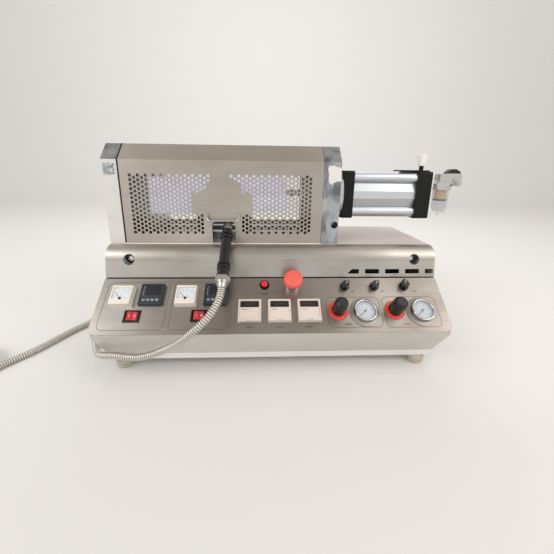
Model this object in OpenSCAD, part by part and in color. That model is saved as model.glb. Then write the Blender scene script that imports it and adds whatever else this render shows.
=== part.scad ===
// Bench-top injection moulding machine: a console base, a guarded press bed and an air cylinder.
// Millimetres. X runs along the machine, Y away from the operator, Z up from the bench.

/* [Base] */
// Width of the console base
base_w = 730; // [726:2:790]
// Depth of the base from the panel lip to the back wall
base_d = 358; // [350:2:390]
// Height of the deck above the bench
deck_z = 272; // [266:2:290]
// Thickness of the folded sheet
sheet_t = 2; // [1.5:0.5:2.5]
// Height of the feet
foot_h = 25; // [20:1:32]
// Height of the white chassis pan
pan_h = 13; // [10:1:16]
// Setback of the pan behind the panel lip
pan_back = 67; // [60:1:74]

/* [Panel] */
// Height of the panel's lower lip
lip_z = 124; // [118:1:128]
// Tilt of the panel from level
panel_tilt = 40.5; // [38:0.5:42]
// Length of the panel up its slope
panel_len = 124; // [122:1:126]
// Side of the square timers and temperature controllers
din_side = 48; // [46:1:50]
// Side of the square current meters
meter_side = 45; // [42:1:47]
// Diameter of the round gauge flanges
gauge_flange_d = 63; // [58:1:66]
// Diameter of the pressure regulator knobs
regulator_d = 29; // [26:1:32]
// Diameter of the selector knobs
selector_d = 18; // [15:1:20]
// Diameter of the emergency stop head
stop_d = 40; // [36:1:42]

/* [Press housing] */
// Length of the housing over both end plates
housing_l = 516; // [500:2:530]
// Depth of the housing
housing_d = 195; // [190:1:205]
// Height of the housing above the deck
housing_h = 217; // [210:1:225]
// Thickness of the left end plate
plate_l_t = 33; // [28:1:36]
// Thickness of the right end plate
plate_r_t = 38; // [34:1:42]
// Size of the chamfer along the top front edge
chamfer = 34; // [28:1:38]
// Diameter of the guard's perforations
perf_d = 7.2; // [5:0.2:7.6]
// Spacing of the guard's perforations
perf_pitch = 9.6; // [9.4:0.2:11]
// Width of the opening that the handle comes through
arch_w = 52; // [48:1:56]

/* [Injection unit] */
// Height of the press axis above the deck
axis_h = 109; // [105:1:114]
// Outer diameter of the heated barrel
barrel_d = 58; // [50:1:62]
// Length of the heated barrel
barrel_l = 150; // [140:1:160]
// Diameter of the plunger
plunger_d = 16; // [12:1:18]
// Travel of the ram
ram_travel = 110; // [80:5:110]
// Droop of the barrel handle below level
handle_droop = 36; // [34:0.5:38]
// Diameter of the black grip
grip_d = 23; // [20:1:24]

/* [Air cylinder] */
// Side of the square end caps
cap_side = 112; // [108:1:116]
// Length of the extruded tube
tube_l = 153; // [150:1:170]
// Bore of the tube
bore_d = 88; // [80:1:92]
// Diameter of the piston rod
rod_d = 25; // [20:1:30]
// Diameter of the filter bowl
bowl_d = 40; // [36:1:44]

/* [Conduits] */
// Outer diameter of the armoured conduits
conduit_d = 15; // [13:1:15]

/* [Hidden] */
$fn = 48;

// clearances
fit = 0.2;
slip = 0.3;

// base
pan_top = foot_h + pan_h;
panel_c = cos(panel_tilt);
panel_s = sin(panel_tilt);
panel_top_y = panel_len * panel_c;
panel_top_z = lip_z + panel_len * panel_s;
front_r = 16;
rear_r = 14;
nose_r = 31;
nose_y = panel_top_y + 10;
nose_foot_y = panel_top_y + 3;
nose_foot_z = panel_top_z + 2;
deck_y = nose_y + nose_r;
slot_h = 10;
slot_w = 32;
slot_pitch = 46;
end_slot_w = 26;
foot_d = 39;
foot_inset = 27;
foot_y = [pan_back + 17, base_d - 40];

// places of the instruments along the panel and up its slope
meter_x = [49.5, 181];
meter_q = 80;
controller_x = [109, 241];
controller_q = 83.5;
timer_x = [313.5, 375, 436.5];
timer_q = 46.5;
din_out = 10;
meter_out = 14;
rocker_x = [77.5, 210.5];
rocker_q = 38;
rocker_w = 33;
rocker_l = 26.5;
rocker_pin_d = 3;
push_x = 344;
push_q = 107;
push_d = 15;
push_out = 7;
push_travel = 2.5;
stop_x = 404;
stop_q = 103;
stop_out = 43;
stop_travel = 4;
selector_x = [519, 584.5, 651];
selector_q = 102;
regulator_x = [497.5, 617.5];
regulator_q = 47;
regulator_out = 43;
gauge_x = [552.4, 673.3];
gauge_q = 43;
gauge_d = 46;
gauge_out = 13;

// housing
house_x0 = -3;
house_x1 = house_x0 + housing_l;
inner_x0 = house_x0 + plate_l_t;
inner_x1 = house_x1 - plate_r_t;
house_y = 142;
house_back = house_y + housing_d;
house_top = deck_z + housing_h;
chamfer_z = house_top - chamfer;
axis_y = house_y + housing_d / 2;
axis_z = deck_z + axis_h;
guard_gap = 1.2;
guard_x0 = inner_x0 + guard_gap;
guard_x1 = inner_x1 - guard_gap;
guard_w = guard_x1 - guard_x0;
guard_foot = deck_z + 1.5;
hinge_r = 4;
hinge_y = house_back - 9;
hinge_z = house_top + hinge_r + 1.2;
perf_x0 = guard_x0 + 20;
perf_x1 = guard_x1 - 18;
perf_z0 = deck_z + 22;
perf_z1 = chamfer_z - 20;
perf_column = perf_pitch * sqrt(3) / 2;
perf_columns = floor((perf_x1 - perf_x0 - perf_d) / perf_column);
perf_rows = floor((perf_z1 - perf_z0 - perf_d) / perf_pitch);

// injection unit
handle_x = 261;
arch_x = handle_x - 9;
arch_top = deck_z + 51;
mould_carrier_l = 58;
carrier_w = 100;
carrier_rise = 45;
rail_w = 20;
mould_l = 62;
mould_side = 70;
nozzle_l = 22;
mould_x = inner_x0 + mould_carrier_l;
nozzle_x = mould_x + mould_l;
barrel_x = nozzle_x + nozzle_l;
barrel_end = barrel_x + barrel_l;
plunger_tip = barrel_end + 8;
collar_l = 14;
plunger_head_x = barrel_end + ram_travel + collar_l + 5;
rail_h = 18;
grip_start = 132;
grip_end = 258;
nut_d = 31;
nut_end = 272;

// air cylinder
flange_t = 17;
cap_t = 26;
rear_cap_t = 34;
rear_plate_t = 3;
flange_d = 128;
front_cap_x = house_x1 + flange_t;
tube_x = front_cap_x + cap_t;
rear_cap_x = tube_x + tube_l;
rear_plate_x = rear_cap_x + rear_cap_t;
cyl_end = rear_plate_x + rear_plate_t;
cap_half = cap_side / 2;
piston_t = 24;
piston_x = rear_cap_x - piston_t - 3;
silencer_x = rear_cap_x + 14;
silencer_y = axis_y - 34;
bowl_x = cyl_end + bowl_d / 2 + 6;
bowl_y = axis_y - 47;
filter_z = axis_z + 29;
knob_d = 42;
inlet_d = 11.4;
inlet_l = 12;
knob_x = bowl_x + 42;
knob_y = bowl_y + 22;

// origin at the middle of the footprint
span_x0 = house_x0;
span_x1 = knob_x + knob_d / 2;
mid_x = (span_x0 + span_x1) / 2;
mid_y = base_d / 2;

// conduit routes along the bench and the base, chosen by hand
gland_z = 62;
gland_y = [200, 292];
gland_l = 26;
elbow_l = 38;
elbow_d = 22;
gun_points = [
    [259.9, -1.5, 205.6], [253.0, -17.5, 191.2], [240.7, -29.2, 176.2], [225.0, -35.0, 161.0],
    [208.3, -34.5, 145.8], [192.3, -29.0, 130.6], [177.4, -20.2, 116.0], [161.9, -10.2, 102.8],
    [144.9, -1.3, 90.8], [126.0, 4.7, 79.7], [105.1, 7.6, 71.6], [82.7, 8.9, 68.2],
    [60.2, 11.6, 68.9], [38.0, 16.4, 68.8], [17.1, 23.4, 63.8], [-0.8, 35.5, 57.1],
    [-15.1, 52.6, 53.2], [-27.9, 71.1, 55.2], [-38.0, 90.8, 60.2], [-42.4, 112.7, 63.2],
    [-41.3, 135.4, 62.9], [-38.5, 157.9, 62.1]
];
lead_points = [
    [-44, 292, 60], [-62, 291, 55], [-82, 289, 45], [-102, 285, 33], [-122, 278, 22], [-140, 268, 14],
    [-156, 253, 9.5], [-169, 233, 8], [-179, 209, 8], [-188, 184, 8], [-197, 158, 8], [-207, 133, 8],
    [-220, 109, 8], [-233.5, 88, 8], [-243.2, 69.2, 8]
];
coil_mean_d = conduit_d * 11;
coil_center = [-344, 46];
coil_h = conduit_d * (1 + sqrt(3) / 2);
connector_d = 24;
connector_l = 46;

// shared helpers
module machine_frame() translate([-mid_x, -mid_y, 0]) children();

module along_x(x0, x1) translate([x0, 0, 0]) rotate([90, 0, 90]) linear_extrude(x1 - x0) children();

module rod_x(x0, x1, d) translate([x0, 0, 0]) rotate([0, 90, 0]) cylinder(h = x1 - x0, d = d);

module on_panel(x, q) translate([x, q * panel_c, lip_z + q * panel_s]) rotate([panel_tilt, 0, 0]) children();

module box_c(w, l, h) translate([-w / 2, -l / 2, 0]) cube([w, l, h]);

module rounded_plan(x0, x1, y0, y1, r_front, r_rear) {
    translate([x0 + r_front, y0 + r_front]) circle(r_front);
    translate([x1 - r_front, y0 + r_front]) circle(r_front);
    translate([x0 + r_rear, y1 - r_rear]) circle(r_rear);
    translate([x1 - r_rear, y1 - r_rear]) circle(r_rear);
    translate([x0 + r_front, y0]) square([x1 - x0 - 2 * r_front, r_front * 2]);
    translate([x0, y0 + r_front]) square([x1 - x0, y1 - y0 - r_front - r_rear]);
    translate([x0 + r_rear, y1 - 2 * r_rear]) square([x1 - x0 - 2 * r_rear, 2 * r_rear]);
}

module base_plan(inset) translate([0, 0, -10]) linear_extrude(deck_z + 60)
    rounded_plan(inset, base_w - inset, inset, base_d - inset, front_r - inset, rear_r - inset);

module rounded_square(w, l, r) {
    square([w - 2 * r, l], center = true);
    square([w, l - 2 * r], center = true);
    for (sx = [-1, 1], sy = [-1, 1]) translate([sx * (w / 2 - r), sy * (l / 2 - r)]) circle(r);
}

// block whose four sides lean in by the draft towards its top
module drafted(w, l, h, draft) intersection() {
    translate([0, l / 2, 0]) rotate([90, 0, 0]) linear_extrude(l)
        polygon([[-w / 2, 0], [w / 2, 0], [w / 2 - draft, h], [draft - w / 2, h]]);
    translate([-w / 2, 0, 0]) rotate([90, 0, 90]) linear_extrude(w)
        polygon([[-l / 2, 0], [l / 2, 0], [l / 2 - draft, h], [draft - l / 2, h]]);
}

// base
function fascia_y(z) = pan_back * (lip_z - z) / (lip_z - pan_top);
fascia_slant = sqrt(pow(pan_back, 2) + pow(lip_z - pan_top, 2)) / (lip_z - pan_top);

module chassis_pan() color("white") machine_frame() difference() {
    translate([0, 0, foot_h]) linear_extrude(pan_h)
        rounded_plan(0, base_w, pan_back, base_d, 10, rear_r);
    translate([0, 0, foot_h + sheet_t]) linear_extrude(pan_h)
        rounded_plan(sheet_t, base_w - sheet_t, pan_back + sheet_t, base_d - sheet_t, 8, rear_r - sheet_t);
}

// side outline below the panel, nose and deck sheets
module casing_side() {
    fascia_rise = (lip_z - pan_top) / pan_back;
    under_lip_y = sheet_t / (panel_c * (fascia_rise + tan(panel_tilt)));
    polygon([
        [pan_back, pan_top], [under_lip_y, lip_z - under_lip_y * fascia_rise],
        [panel_top_y + sheet_t * panel_s, panel_top_z - sheet_t * panel_c],
        [nose_foot_y + sheet_t, nose_foot_z], [nose_y + sheet_t, deck_z - nose_r],
        [deck_y, deck_z - nose_r], [deck_y, deck_z - sheet_t],
        [base_d, deck_z - sheet_t], [base_d, pan_top]
    ]);
    translate([deck_y, deck_z - nose_r]) circle(nose_r - sheet_t);
}

module casing() color("gainsboro") machine_frame() difference() {
    intersection() {
        along_x(0, base_w) casing_side();
        base_plan(0);
    }
    intersection() {
        along_x(sheet_t, base_w - sheet_t) polygon([
            [fascia_y(pan_top - 1) + sheet_t * fascia_slant, pan_top - 1],
            [fascia_y(lip_z + 10) + sheet_t * fascia_slant, lip_z + 10],
            [0, deck_z + 5], [base_d - sheet_t, deck_z + 5], [base_d - sheet_t, pan_top - 1]
        ]);
        base_plan(sheet_t);
    }
    translate([-1, 0, gland_z]) for (y = gland_y) translate([0, y, 0]) rod_x(0, sheet_t + 2, conduit_d + 3);
}

module control_panel() color("silver") machine_frame() difference() {
    intersection() {
        on_panel(0, 0) translate([0, 0, -sheet_t]) cube([base_w, panel_len, sheet_t]);
        base_plan(0);
    }
    for (x = meter_x) on_panel(x, meter_q) translate([0, 0, -5]) cylinder(h = 8, d = meter_side - 6);
    for (x = controller_x) on_panel(x, controller_q) translate([0, 0, -5]) box_c(din_side - 3, din_side - 3, 8);
    for (x = timer_x) on_panel(x, timer_q) translate([0, 0, -5]) box_c(din_side - 3, din_side - 3, 8);
    for (x = rocker_x) on_panel(x, rocker_q) translate([0, 0, -5]) box_c(rocker_w - 4, rocker_l - 4, 8);
    on_panel(push_x, push_q) translate([0, 0, -5]) cylinder(h = 8, d = push_d + 2);
    on_panel(stop_x, stop_q) translate([0, 0, -5]) cylinder(h = 8, d = 22);
    for (x = selector_x) on_panel(x, selector_q) translate([0, 0, -5]) cylinder(h = 8, d = 8);
    for (x = regulator_x) on_panel(x, regulator_q) translate([0, 0, -5]) cylinder(h = 8, d = 24);
    for (x = gauge_x) on_panel(x, gauge_q) translate([0, 0, -5]) cylinder(h = 8, d = gauge_d - 4);
}

// curved front of the deck, with an inner face set in by the given thickness
module nose_side(inset) {
    polygon([
        [nose_foot_y + inset, nose_foot_z], [nose_y + inset, deck_z - nose_r],
        [deck_y + inset, deck_z - nose_r], [deck_y + inset, nose_foot_z]
    ]);
    intersection() {
        translate([deck_y, deck_z - nose_r]) circle(nose_r - inset);
        translate([0, deck_z - nose_r - 0.1]) square([deck_y, nose_r + 1]);
    }
}

module nose_cover() color("silver") machine_frame() difference() {
    along_x(0, base_w) difference() {
        nose_side(0);
        nose_side(sheet_t);
        translate([deck_y, 0]) square([10, deck_z * 2]);
    }
    for (x = [50, base_w - 48]) translate([x, 0, deck_z - 27]) rotate([-90, 0, 0]) cylinder(h = deck_y - 5, d = 24);
    for (i = [0:3]) translate([base_w - 22 - i * slot_pitch, nose_foot_y - 5, panel_top_z + 9])
        cube([min(slot_w, 18 + i * 20), 16, slot_h]);
    translate([base_w - 22 - 4 * slot_pitch + slot_w, nose_foot_y + 11, panel_top_z + 9]) rotate([90, 0, 0])
        linear_extrude(16) polygon([[0, 0], [0, slot_h], [slot_h - end_slot_w, slot_h], [-end_slot_w, 0]]);
}

module deck_plate() color("ivory") machine_frame() intersection() {
    translate([0, deck_y, deck_z - sheet_t]) cube([base_w, base_d - deck_y, sheet_t]);
    base_plan(0);
}

module foot() {
    r = foot_d / 2;
    groove_z = foot_h * 0.4;
    rotate_extrude() polygon([
        [0, 0], [r - 4, 0], [r - 1.5, 2.5], [r - 1.5, groove_z - 1.5], [r - 3, groove_z], [r, groove_z + 1.5],
        [r, foot_h - 8], [r - 4, foot_h - 3], [r - 7, foot_h], [0, foot_h]
    ]);
}

module feet() color("linen") machine_frame() for (x = [foot_inset, base_w - foot_inset],
    y = foot_y) translate([x, y, 0]) foot();

// housing
module end_outline() polygon([
    [house_y, deck_z], [house_y, chamfer_z], [house_y + chamfer, house_top],
    [house_back, house_top], [house_back, deck_z]
]);

module end_plate_left() color("lightgray") machine_frame() along_x(house_x0, inner_x0) end_outline();

module end_plate_right() color("lightgray") machine_frame() difference() {
    along_x(inner_x1, house_x1) end_outline();
    translate([0, axis_y, axis_z]) rod_x(inner_x1 - 1, house_x1 + 1, rod_d + 12);
    translate([house_x1 - 9, house_y - 1, deck_z + 44]) rotate([-90, 0, 0]) cylinder(h = 41, d = 16);
}

module rear_cover() color("silver") machine_frame() difference() {
    translate([inner_x0, house_back - sheet_t, deck_z]) cube([inner_x1 - inner_x0, sheet_t, housing_h - 3]);
    translate([inner_x0 + 30, house_back - sheet_t - 1, deck_z + 24])
        cube([inner_x1 - inner_x0 - 60, sheet_t + 2, housing_h - 90]);
}

// true where the sheet stays blank behind the handle
function blank(x, z) =
    pow(x - arch_x, 2) + pow(z - (deck_z + 114), 2) < pow(40, 2) ||
    (abs(x - arch_x) < 40 && z < deck_z + 114) ||
    (abs(x - arch_x + 2) < 69 && z > deck_z + 65 && z < deck_z + 114);

module perforated_front() difference() {
    translate([guard_x0, guard_foot]) square([guard_w, chamfer_z - guard_foot]);
    for (i = [0:perf_columns], j = [0:perf_rows - (i % 2)]) {
        x = perf_x0 + perf_d / 2 + i * perf_column;
        z = perf_z0 + perf_d / 2 + (j + (i % 2) / 2) * perf_pitch;
        if (!blank(x, z)) translate([x, z]) circle(d = perf_d, $fn = 16);
    }
    translate([arch_x - arch_w / 2, guard_foot - 1]) square([arch_w, arch_top - 10 - guard_foot + 1]);
    translate([arch_x - arch_w / 2 + 10, guard_foot]) square([arch_w - 20, arch_top - guard_foot]);
    for (s = [-1, 1]) translate([arch_x + s * (arch_w / 2 - 10), arch_top - 10]) circle(10);
}

module guard() color("silver") machine_frame() {
    translate([0, house_y + sheet_t, 0]) rotate([90, 0, 0]) linear_extrude(sheet_t) perforated_front();
    along_x(guard_x0, guard_x1) polygon([
        [house_y, chamfer_z], [house_y + chamfer, house_top], [hinge_y - 3, house_top],
        [hinge_y - 3, house_top - sheet_t], [house_y + chamfer + 1, house_top - sheet_t],
        [house_y + sheet_t, chamfer_z - 1], [house_y + sheet_t, chamfer_z - 6], [house_y, chamfer_z - 6]
    ]);
    translate([0, hinge_y, hinge_z]) for (x = [guard_x0 + 60, guard_x1 - 100]) difference() {
        union() {
            rod_x(x, x + 20, hinge_r * 2);
            translate([x, -hinge_r - 6, house_top - hinge_z - 1]) cube([20, hinge_r + 6, 3.4]);
        }
        rod_x(x - 1, x + 21, 4 + fit);
    }
    hood_lip();
}

// folded lip with round lower corners over the arch
module hood_lip() translate([arch_x, house_y, arch_top + 2]) {
    translate([-36, -9, 0]) cube([72, 9, 1.6]);
    for (s = [-1, 1]) translate([s * 35.2 - 0.8, -9, 0]) cube([1.6, 9, 16]);
}

module guard_shield() color("lavender") machine_frame() {
    translate([guard_x0 + 16, house_y + sheet_t + 3, deck_z + 60]) cube([guard_w - 32, 3, chamfer_z - deck_z - 66]);
    for (x = [guard_x0 + 22, guard_x1 - 22], z = [deck_z + 66, chamfer_z - 12])
        translate([x, house_y + sheet_t, z]) rotate([-90, 0, 0]) cylinder(h = 3.1, d = 8);
}

module guard_hinge() color("dimgray") machine_frame() {
    translate([0, hinge_y, hinge_z]) {
        for (x = [guard_x0 + 60, guard_x1 - 100]) rod_x(x - 21, x + 41, 4);
        for (x = [guard_x0 + 39, guard_x0 + 81, guard_x1 - 121, guard_x1 - 79]) {
            rod_x(x, x + 19.6, hinge_r * 2);
            translate([x, 0, -hinge_r]) cube([19.6, 11, 2]);
            translate([x, 9, -2 * hinge_r - 6]) cube([19.6, 2, 2 + hinge_r * 1 + 6]);
        }
    }
}

// injection unit
module bed_rails() color("darkgray") machine_frame() for (y = [axis_y - carrier_w / 2, axis_y + carrier_w / 2 - rail_w])
    translate([inner_x0, y, deck_z]) cube([inner_x1 - inner_x0, rail_w, rail_h]);

module mould_carrier() color("gray") machine_frame()
    translate([inner_x0, axis_y - carrier_w / 2, deck_z + rail_h])
        cube([mould_carrier_l, carrier_w, axis_h - rail_h + carrier_rise]);

module mould() color("silver") machine_frame() difference() {
    union() {
        translate([mould_x, axis_y - mould_side / 2, axis_z - mould_side / 2])
            cube([mould_l / 2 - 0.5, mould_side, mould_side]);
        translate([mould_x + mould_l / 2 - 0.5, axis_y - mould_side / 2 + 2, axis_z - mould_side / 2 + 2])
            cube([1, mould_side - 4, mould_side - 4]);
        translate([mould_x + mould_l / 2 + 0.5, axis_y - mould_side / 2, axis_z - mould_side / 2])
            cube([mould_l / 2 - 0.5, mould_side, mould_side]);
    }
    translate([0, axis_y, axis_z]) rod_x(nozzle_x - 20, nozzle_x + 1, 8);
}

module barrel_cradle() color("dimgray") machine_frame() difference() {
    for (x = [barrel_x + 12, barrel_end - 32])
        translate([x, axis_y - carrier_w / 2, deck_z + rail_h]) cube([20, carrier_w, axis_h - rail_h]);
    translate([0, axis_y, axis_z]) rod_x(barrel_x, barrel_end, barrel_d + slip);
}

module barrel() color("black") machine_frame() translate([0, axis_y, axis_z]) difference() {
    union() {
        rod_x(barrel_x, barrel_end, barrel_d);
        translate([nozzle_x + 6, 0, 0]) rotate([0, 90, 0]) cylinder(h = nozzle_l - 6, d1 = 14, d2 = 34);
        rod_x(nozzle_x, nozzle_x + 6.1, 14);
    }
    rod_x(barrel_x - 6, barrel_end + 1, plunger_d + 2 * fit);
    rod_x(nozzle_x - 1, barrel_x, 3);
}

// frame that runs along the handle from the barrel's axis
module along_handle(r) translate([handle_x, axis_y, axis_z])
    rotate([90 + handle_droop, 0, 0]) translate([0, 0, r]) children();

module handle_arm() color("silver") machine_frame() difference() {
    union() {
        along_handle(barrel_d / 2 - 6) cylinder(h = grip_start - barrel_d / 2 + 7, d = 14);
        along_handle(114) cylinder(h = grip_start - 114, d = 20);
    }
    translate([0, axis_y, axis_z]) rod_x(handle_x - 20, handle_x + 20, barrel_d);
}

module handle_grip() color("black") machine_frame() difference() {
    union() {
        along_handle(grip_start) cylinder(h = grip_end - grip_start, d = grip_d);
        for (r = [143, 153, 224, 233]) along_handle(r) cylinder(h = 5, d = grip_d + 4);
        along_handle(239) cylinder(h = grip_end - 239, d = grip_d + 2);
    }
    along_handle(grip_start - 1) cylinder(h = 2, d = 14);
}

module handle_nut() color("silver") machine_frame() difference() {
    along_handle(grip_end) union() {
        cylinder(h = 10, d = nut_d, $fn = 6);
        translate([0, 0, 9.9]) cylinder(h = nut_end - grip_end - 9.9, d = nut_d - 6);
    }
    along_handle(nut_end - 8) cylinder(h = 9, d = conduit_d);
}

// air cylinder
module adapter_flange() color("silver") machine_frame() translate([0, axis_y, axis_z]) difference() {
    rod_x(house_x1, front_cap_x, flange_d);
    rod_x(house_x1 - 1, front_cap_x + 1, rod_d + 8);
}

module cylinder_bolts() color("lightgray") machine_frame() translate([0, axis_y, axis_z]) {
    for (a = [45:90:315]) rotate([a, 0, 0]) {
        translate([0, flange_d / 2 - 5.5, 0]) rod_x(front_cap_x, front_cap_x + 8, 10);
        translate([0, cap_half * 1.14, 0]) rod_x(cyl_end, cyl_end + 4, 12);
    }
}

module cap_block(x0, x1) along_x(x0, x1) translate([axis_y, axis_z]) rounded_square(cap_side, cap_side, 7);

module cylinder_front_cap() color("black") machine_frame() difference() {
    cap_block(front_cap_x, tube_x);
    translate([0, axis_y, axis_z]) rod_x(front_cap_x - 1, tube_x + 1, rod_d + fit);
    translate([0, axis_y, axis_z]) for (a = [45:90:315]) rotate([a, 0, 0])
        translate([0, flange_d / 2 - 5.5, 0]) rod_x(front_cap_x - 1, front_cap_x + 8.5, 11);
}

module tube_section() difference() {
    union() {
        rounded_square(cap_side - 26, cap_side - 26, 10);
        for (sy = [-1, 1], sz = [-1, 1]) translate([sy * (cap_half - 16), sz * (cap_half - 16)]) circle(13);
        rounded_square(cap_side - 12, 24, 4);
        rounded_square(24, cap_side - 12, 4);
    }
    circle(d = bore_d);
}

module cylinder_tube() color("silver") machine_frame() along_x(tube_x, rear_cap_x)
    translate([axis_y, axis_z]) tube_section();

module cylinder_rear_cap() color("black") machine_frame() difference() {
    cap_block(rear_cap_x, rear_plate_x);
    translate([0, axis_y, axis_z]) rod_x(rear_cap_x - 1, rear_cap_x + 3, bore_d);
}

module rear_cap_plate() color("whitesmoke") machine_frame() cap_block(rear_plate_x, cyl_end);

module ram() color("silver") machine_frame() translate([0, axis_y, axis_z]) {
    rod_x(plunger_head_x, piston_x + 1, rod_d);
    rod_x(piston_x, piston_x + piston_t, bore_d - 1);
    rod_x(plunger_head_x - collar_l, plunger_head_x, 38);
}

module plunger() color("gainsboro") machine_frame() translate([0, axis_y, axis_z])
    rod_x(plunger_tip, plunger_head_x - collar_l, plunger_d);

module port_plate() color("black") machine_frame() {
    translate([rear_cap_x - 42, axis_y - 46, axis_z + cap_half]) cube([42 + rear_cap_t - 4, 40, 3]);
    translate([silencer_x, silencer_y, axis_z + cap_half + 2]) cylinder(h = 11, d = 10);
}

module silencer() color("white") machine_frame() translate([silencer_x, silencer_y, axis_z + cap_half + 13])
    rotate_extrude() polygon([[0, 0], [9, 0], [9.5, 1], [11, 22], [11.5, 24], [10, 27], [0, 27]]);

module filter_body() color("silver") machine_frame() {
    translate([cyl_end, bowl_y - 9, filter_z - 1]) cube([14, 18, 9]);
    translate([bowl_x - 14, bowl_y - 14, filter_z]) cube([44, 28, 22]);
    difference() {
        translate([bowl_x + 12, bowl_y, filter_z - 3]) cube([36, 20, 26]);
        translate([bowl_x + 48 - inlet_l, bowl_y + 10, filter_z + 10]) rotate([0, 90, 0]) cylinder(h = inlet_l + 1, d = inlet_d);
    }
    translate([bowl_x, bowl_y, filter_z - 15]) cylinder(h = 15, d = bowl_d);
    for (p = [[25, 9], [31, -1]]) translate([bowl_x + p[0], bowl_y - 20, filter_z + p[1]]) rotate([-90, 0, 0])
        cylinder(h = 21, d = 11);
}

module filter_bowl() color("lightcyan") machine_frame() translate([bowl_x, bowl_y, filter_z - 77]) rotate_extrude()
    polygon([
        [0, 8], [0, 0], [4, 0], [4, 6], [bowl_d / 2 - 7, 8], [bowl_d / 2 - 2, 18], [bowl_d / 2 - 1, 62],
        [bowl_d / 2 - 3, 62], [bowl_d / 2 - 4, 19], [bowl_d / 2 - 8, 10]
    ]);

module filter_element() color("tan") machine_frame() translate([bowl_x, bowl_y, filter_z - 37]) {
    cylinder(h = 22, d = 24);
    translate([0, 0, -4]) cylinder(h = 4.1, d = 29);
}

module filter_knob() color("black") machine_frame() translate([knob_x, knob_y - 2, filter_z + 13]) rotate([-90, 0, 0])
    difference() {
        union() {
            cylinder(h = 6, d = 16);
            translate([0, 0, 4]) cylinder(h = 16, d = knob_d);
        }
        for (a = [0:30:359]) rotate([0, 0, a]) translate([knob_d / 2 + 1, 0, 3]) cylinder(h = 13, d = 5, $fn = 16);
    }

// panel instruments
module meter_cases() color("ivory") machine_frame() for (x = meter_x) on_panel(x, meter_q) difference() {
    union() {
        drafted(meter_side, meter_side, meter_out, 2);
        translate([0, 0, -20]) cylinder(h = 20, d = meter_side - 7);
    }
    translate([0, 4, meter_out - 5]) box_c(meter_side - 9, meter_side - 20, 6);
    translate([0, -8.2, meter_out - 5]) cylinder(h = 6, d = 5);
}

module meter_needle(x) machine_frame() on_panel(x, meter_q - 8.2) translate([0, 0, meter_out - 4.2]) rotate([0, 0, 42]) {
    cylinder(h = 1.6, d = 3.6);
    translate([-0.4, 0, 0.4]) cube([0.8, 20, 0.6]);
}
module meter_needle_1() color("black") meter_needle(meter_x[0]);
module meter_needle_2() color("black") meter_needle(meter_x[1]);

module instrument_windows() color("white", 0.4) machine_frame() {
    for (x = meter_x) on_panel(x, meter_q + 4) translate([0, 0, meter_out - 1.5]) box_c(meter_side - 9, meter_side - 20, 1.5);
    for (x = gauge_x) on_panel(x, gauge_q) translate([0, 0, gauge_out - 2.5]) cylinder(h = 1.5, d = gauge_d - 6);
}

module din_case(x, q) on_panel(x, q) {
    difference() {
        drafted(din_side, din_side, din_out, 1);
        translate([0, 0, din_out - 1]) linear_extrude(2) rounded_square(din_side - 8, din_side - 8, 2);
    }
    translate([0, 0, -42]) box_c(din_side - 4, din_side - 4, 42.1);
}
module controllers() color("dimgray") machine_frame() for (x = controller_x) {
    din_case(x, controller_q);
    on_panel(x, controller_q) {
        translate([4, 8, din_out - 1.1]) box_c(30, 20, 0.8);
        for (i = [0:3]) translate([-13 + i * 9, -14, din_out - 1.1]) box_c(5, 4, 1.3);
    }
}
module timers() color("ivory") machine_frame() for (x = timer_x) {
    din_case(x, timer_q);
    on_panel(x, timer_q) translate([0, -7, din_out - 1.1]) box_c(38, 22, 0.8);
}

module rocker_frames() color("black") machine_frame() for (x = rocker_x) on_panel(x, rocker_q) difference() {
    union() {
        drafted(rocker_w, rocker_l, 2.5, 0.8);
        translate([0, 0, -18]) box_c(rocker_w - 5, rocker_l - 5, 18.1);
    }
    translate([0, 0, -9]) box_c(rocker_w - 7.5, rocker_l - 7.5, 14);
    translate([0, rocker_l / 2, -3]) rotate([90, 0, 0]) cylinder(h = rocker_l, d = rocker_pin_d + 2 * fit);
}

// pivot sits below the panel face, along the slope
module rocker(x) machine_frame() on_panel(x, rocker_q) translate([0, (rocker_l - 9) / 2, -3]) rotate([90, 0, 0])
    {
        translate([0, 0, -2]) cylinder(h = rocker_l - 5, d = rocker_pin_d);
        linear_extrude(rocker_l - 9) rotate(-9) intersection() {
            translate([-11, -1]) square([22, 12]);
            translate([0, -11]) circle(18.4);
            difference() {
                translate([-11, -1]) square([22, 12]);
                translate([0, 20]) circle(14.4);
            }
        }
    }
module rocker_1() color("red") rocker(rocker_x[0]);
module rocker_2() color("red") rocker(rocker_x[1]);

module button_collars() color("dimgray") machine_frame() {
    on_panel(push_x, push_q) difference() {
        union() {
            cylinder(h = 3, d = push_d + 6);
            translate([0, 0, -16]) cylinder(h = 16, d = push_d + 1.6);
        }
        translate([0, 0, -12]) cylinder(h = 20, d = push_d + 2 * slip - 1);
    }
    on_panel(stop_x, stop_q) difference() {
        union() {
            cylinder(h = 14, d = 29);
            translate([0, 0, -22]) cylinder(h = 22, d = 21);
        }
        translate([0, 0, -14]) cylinder(h = 40, d = 14);
    }
}

module push_button() color("red") machine_frame() on_panel(push_x, push_q) translate([0, 0, -8])
    cylinder(h = 8 + push_out, d = push_d - 1);

module stop_button() color("red") machine_frame() on_panel(stop_x, stop_q) {
    translate([0, 0, -8]) cylinder(h = 30, d = 13);
    translate([0, 0, 19]) rotate_extrude() polygon([
        [0, 0], [stop_d / 2 - 6, 0], [stop_d / 2, 9], [stop_d / 2, 17], [stop_d / 2 - 1.5, 20.5],
        [stop_d / 2 - 6, 23], [0, stop_out - 19]
    ]);
}

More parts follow.
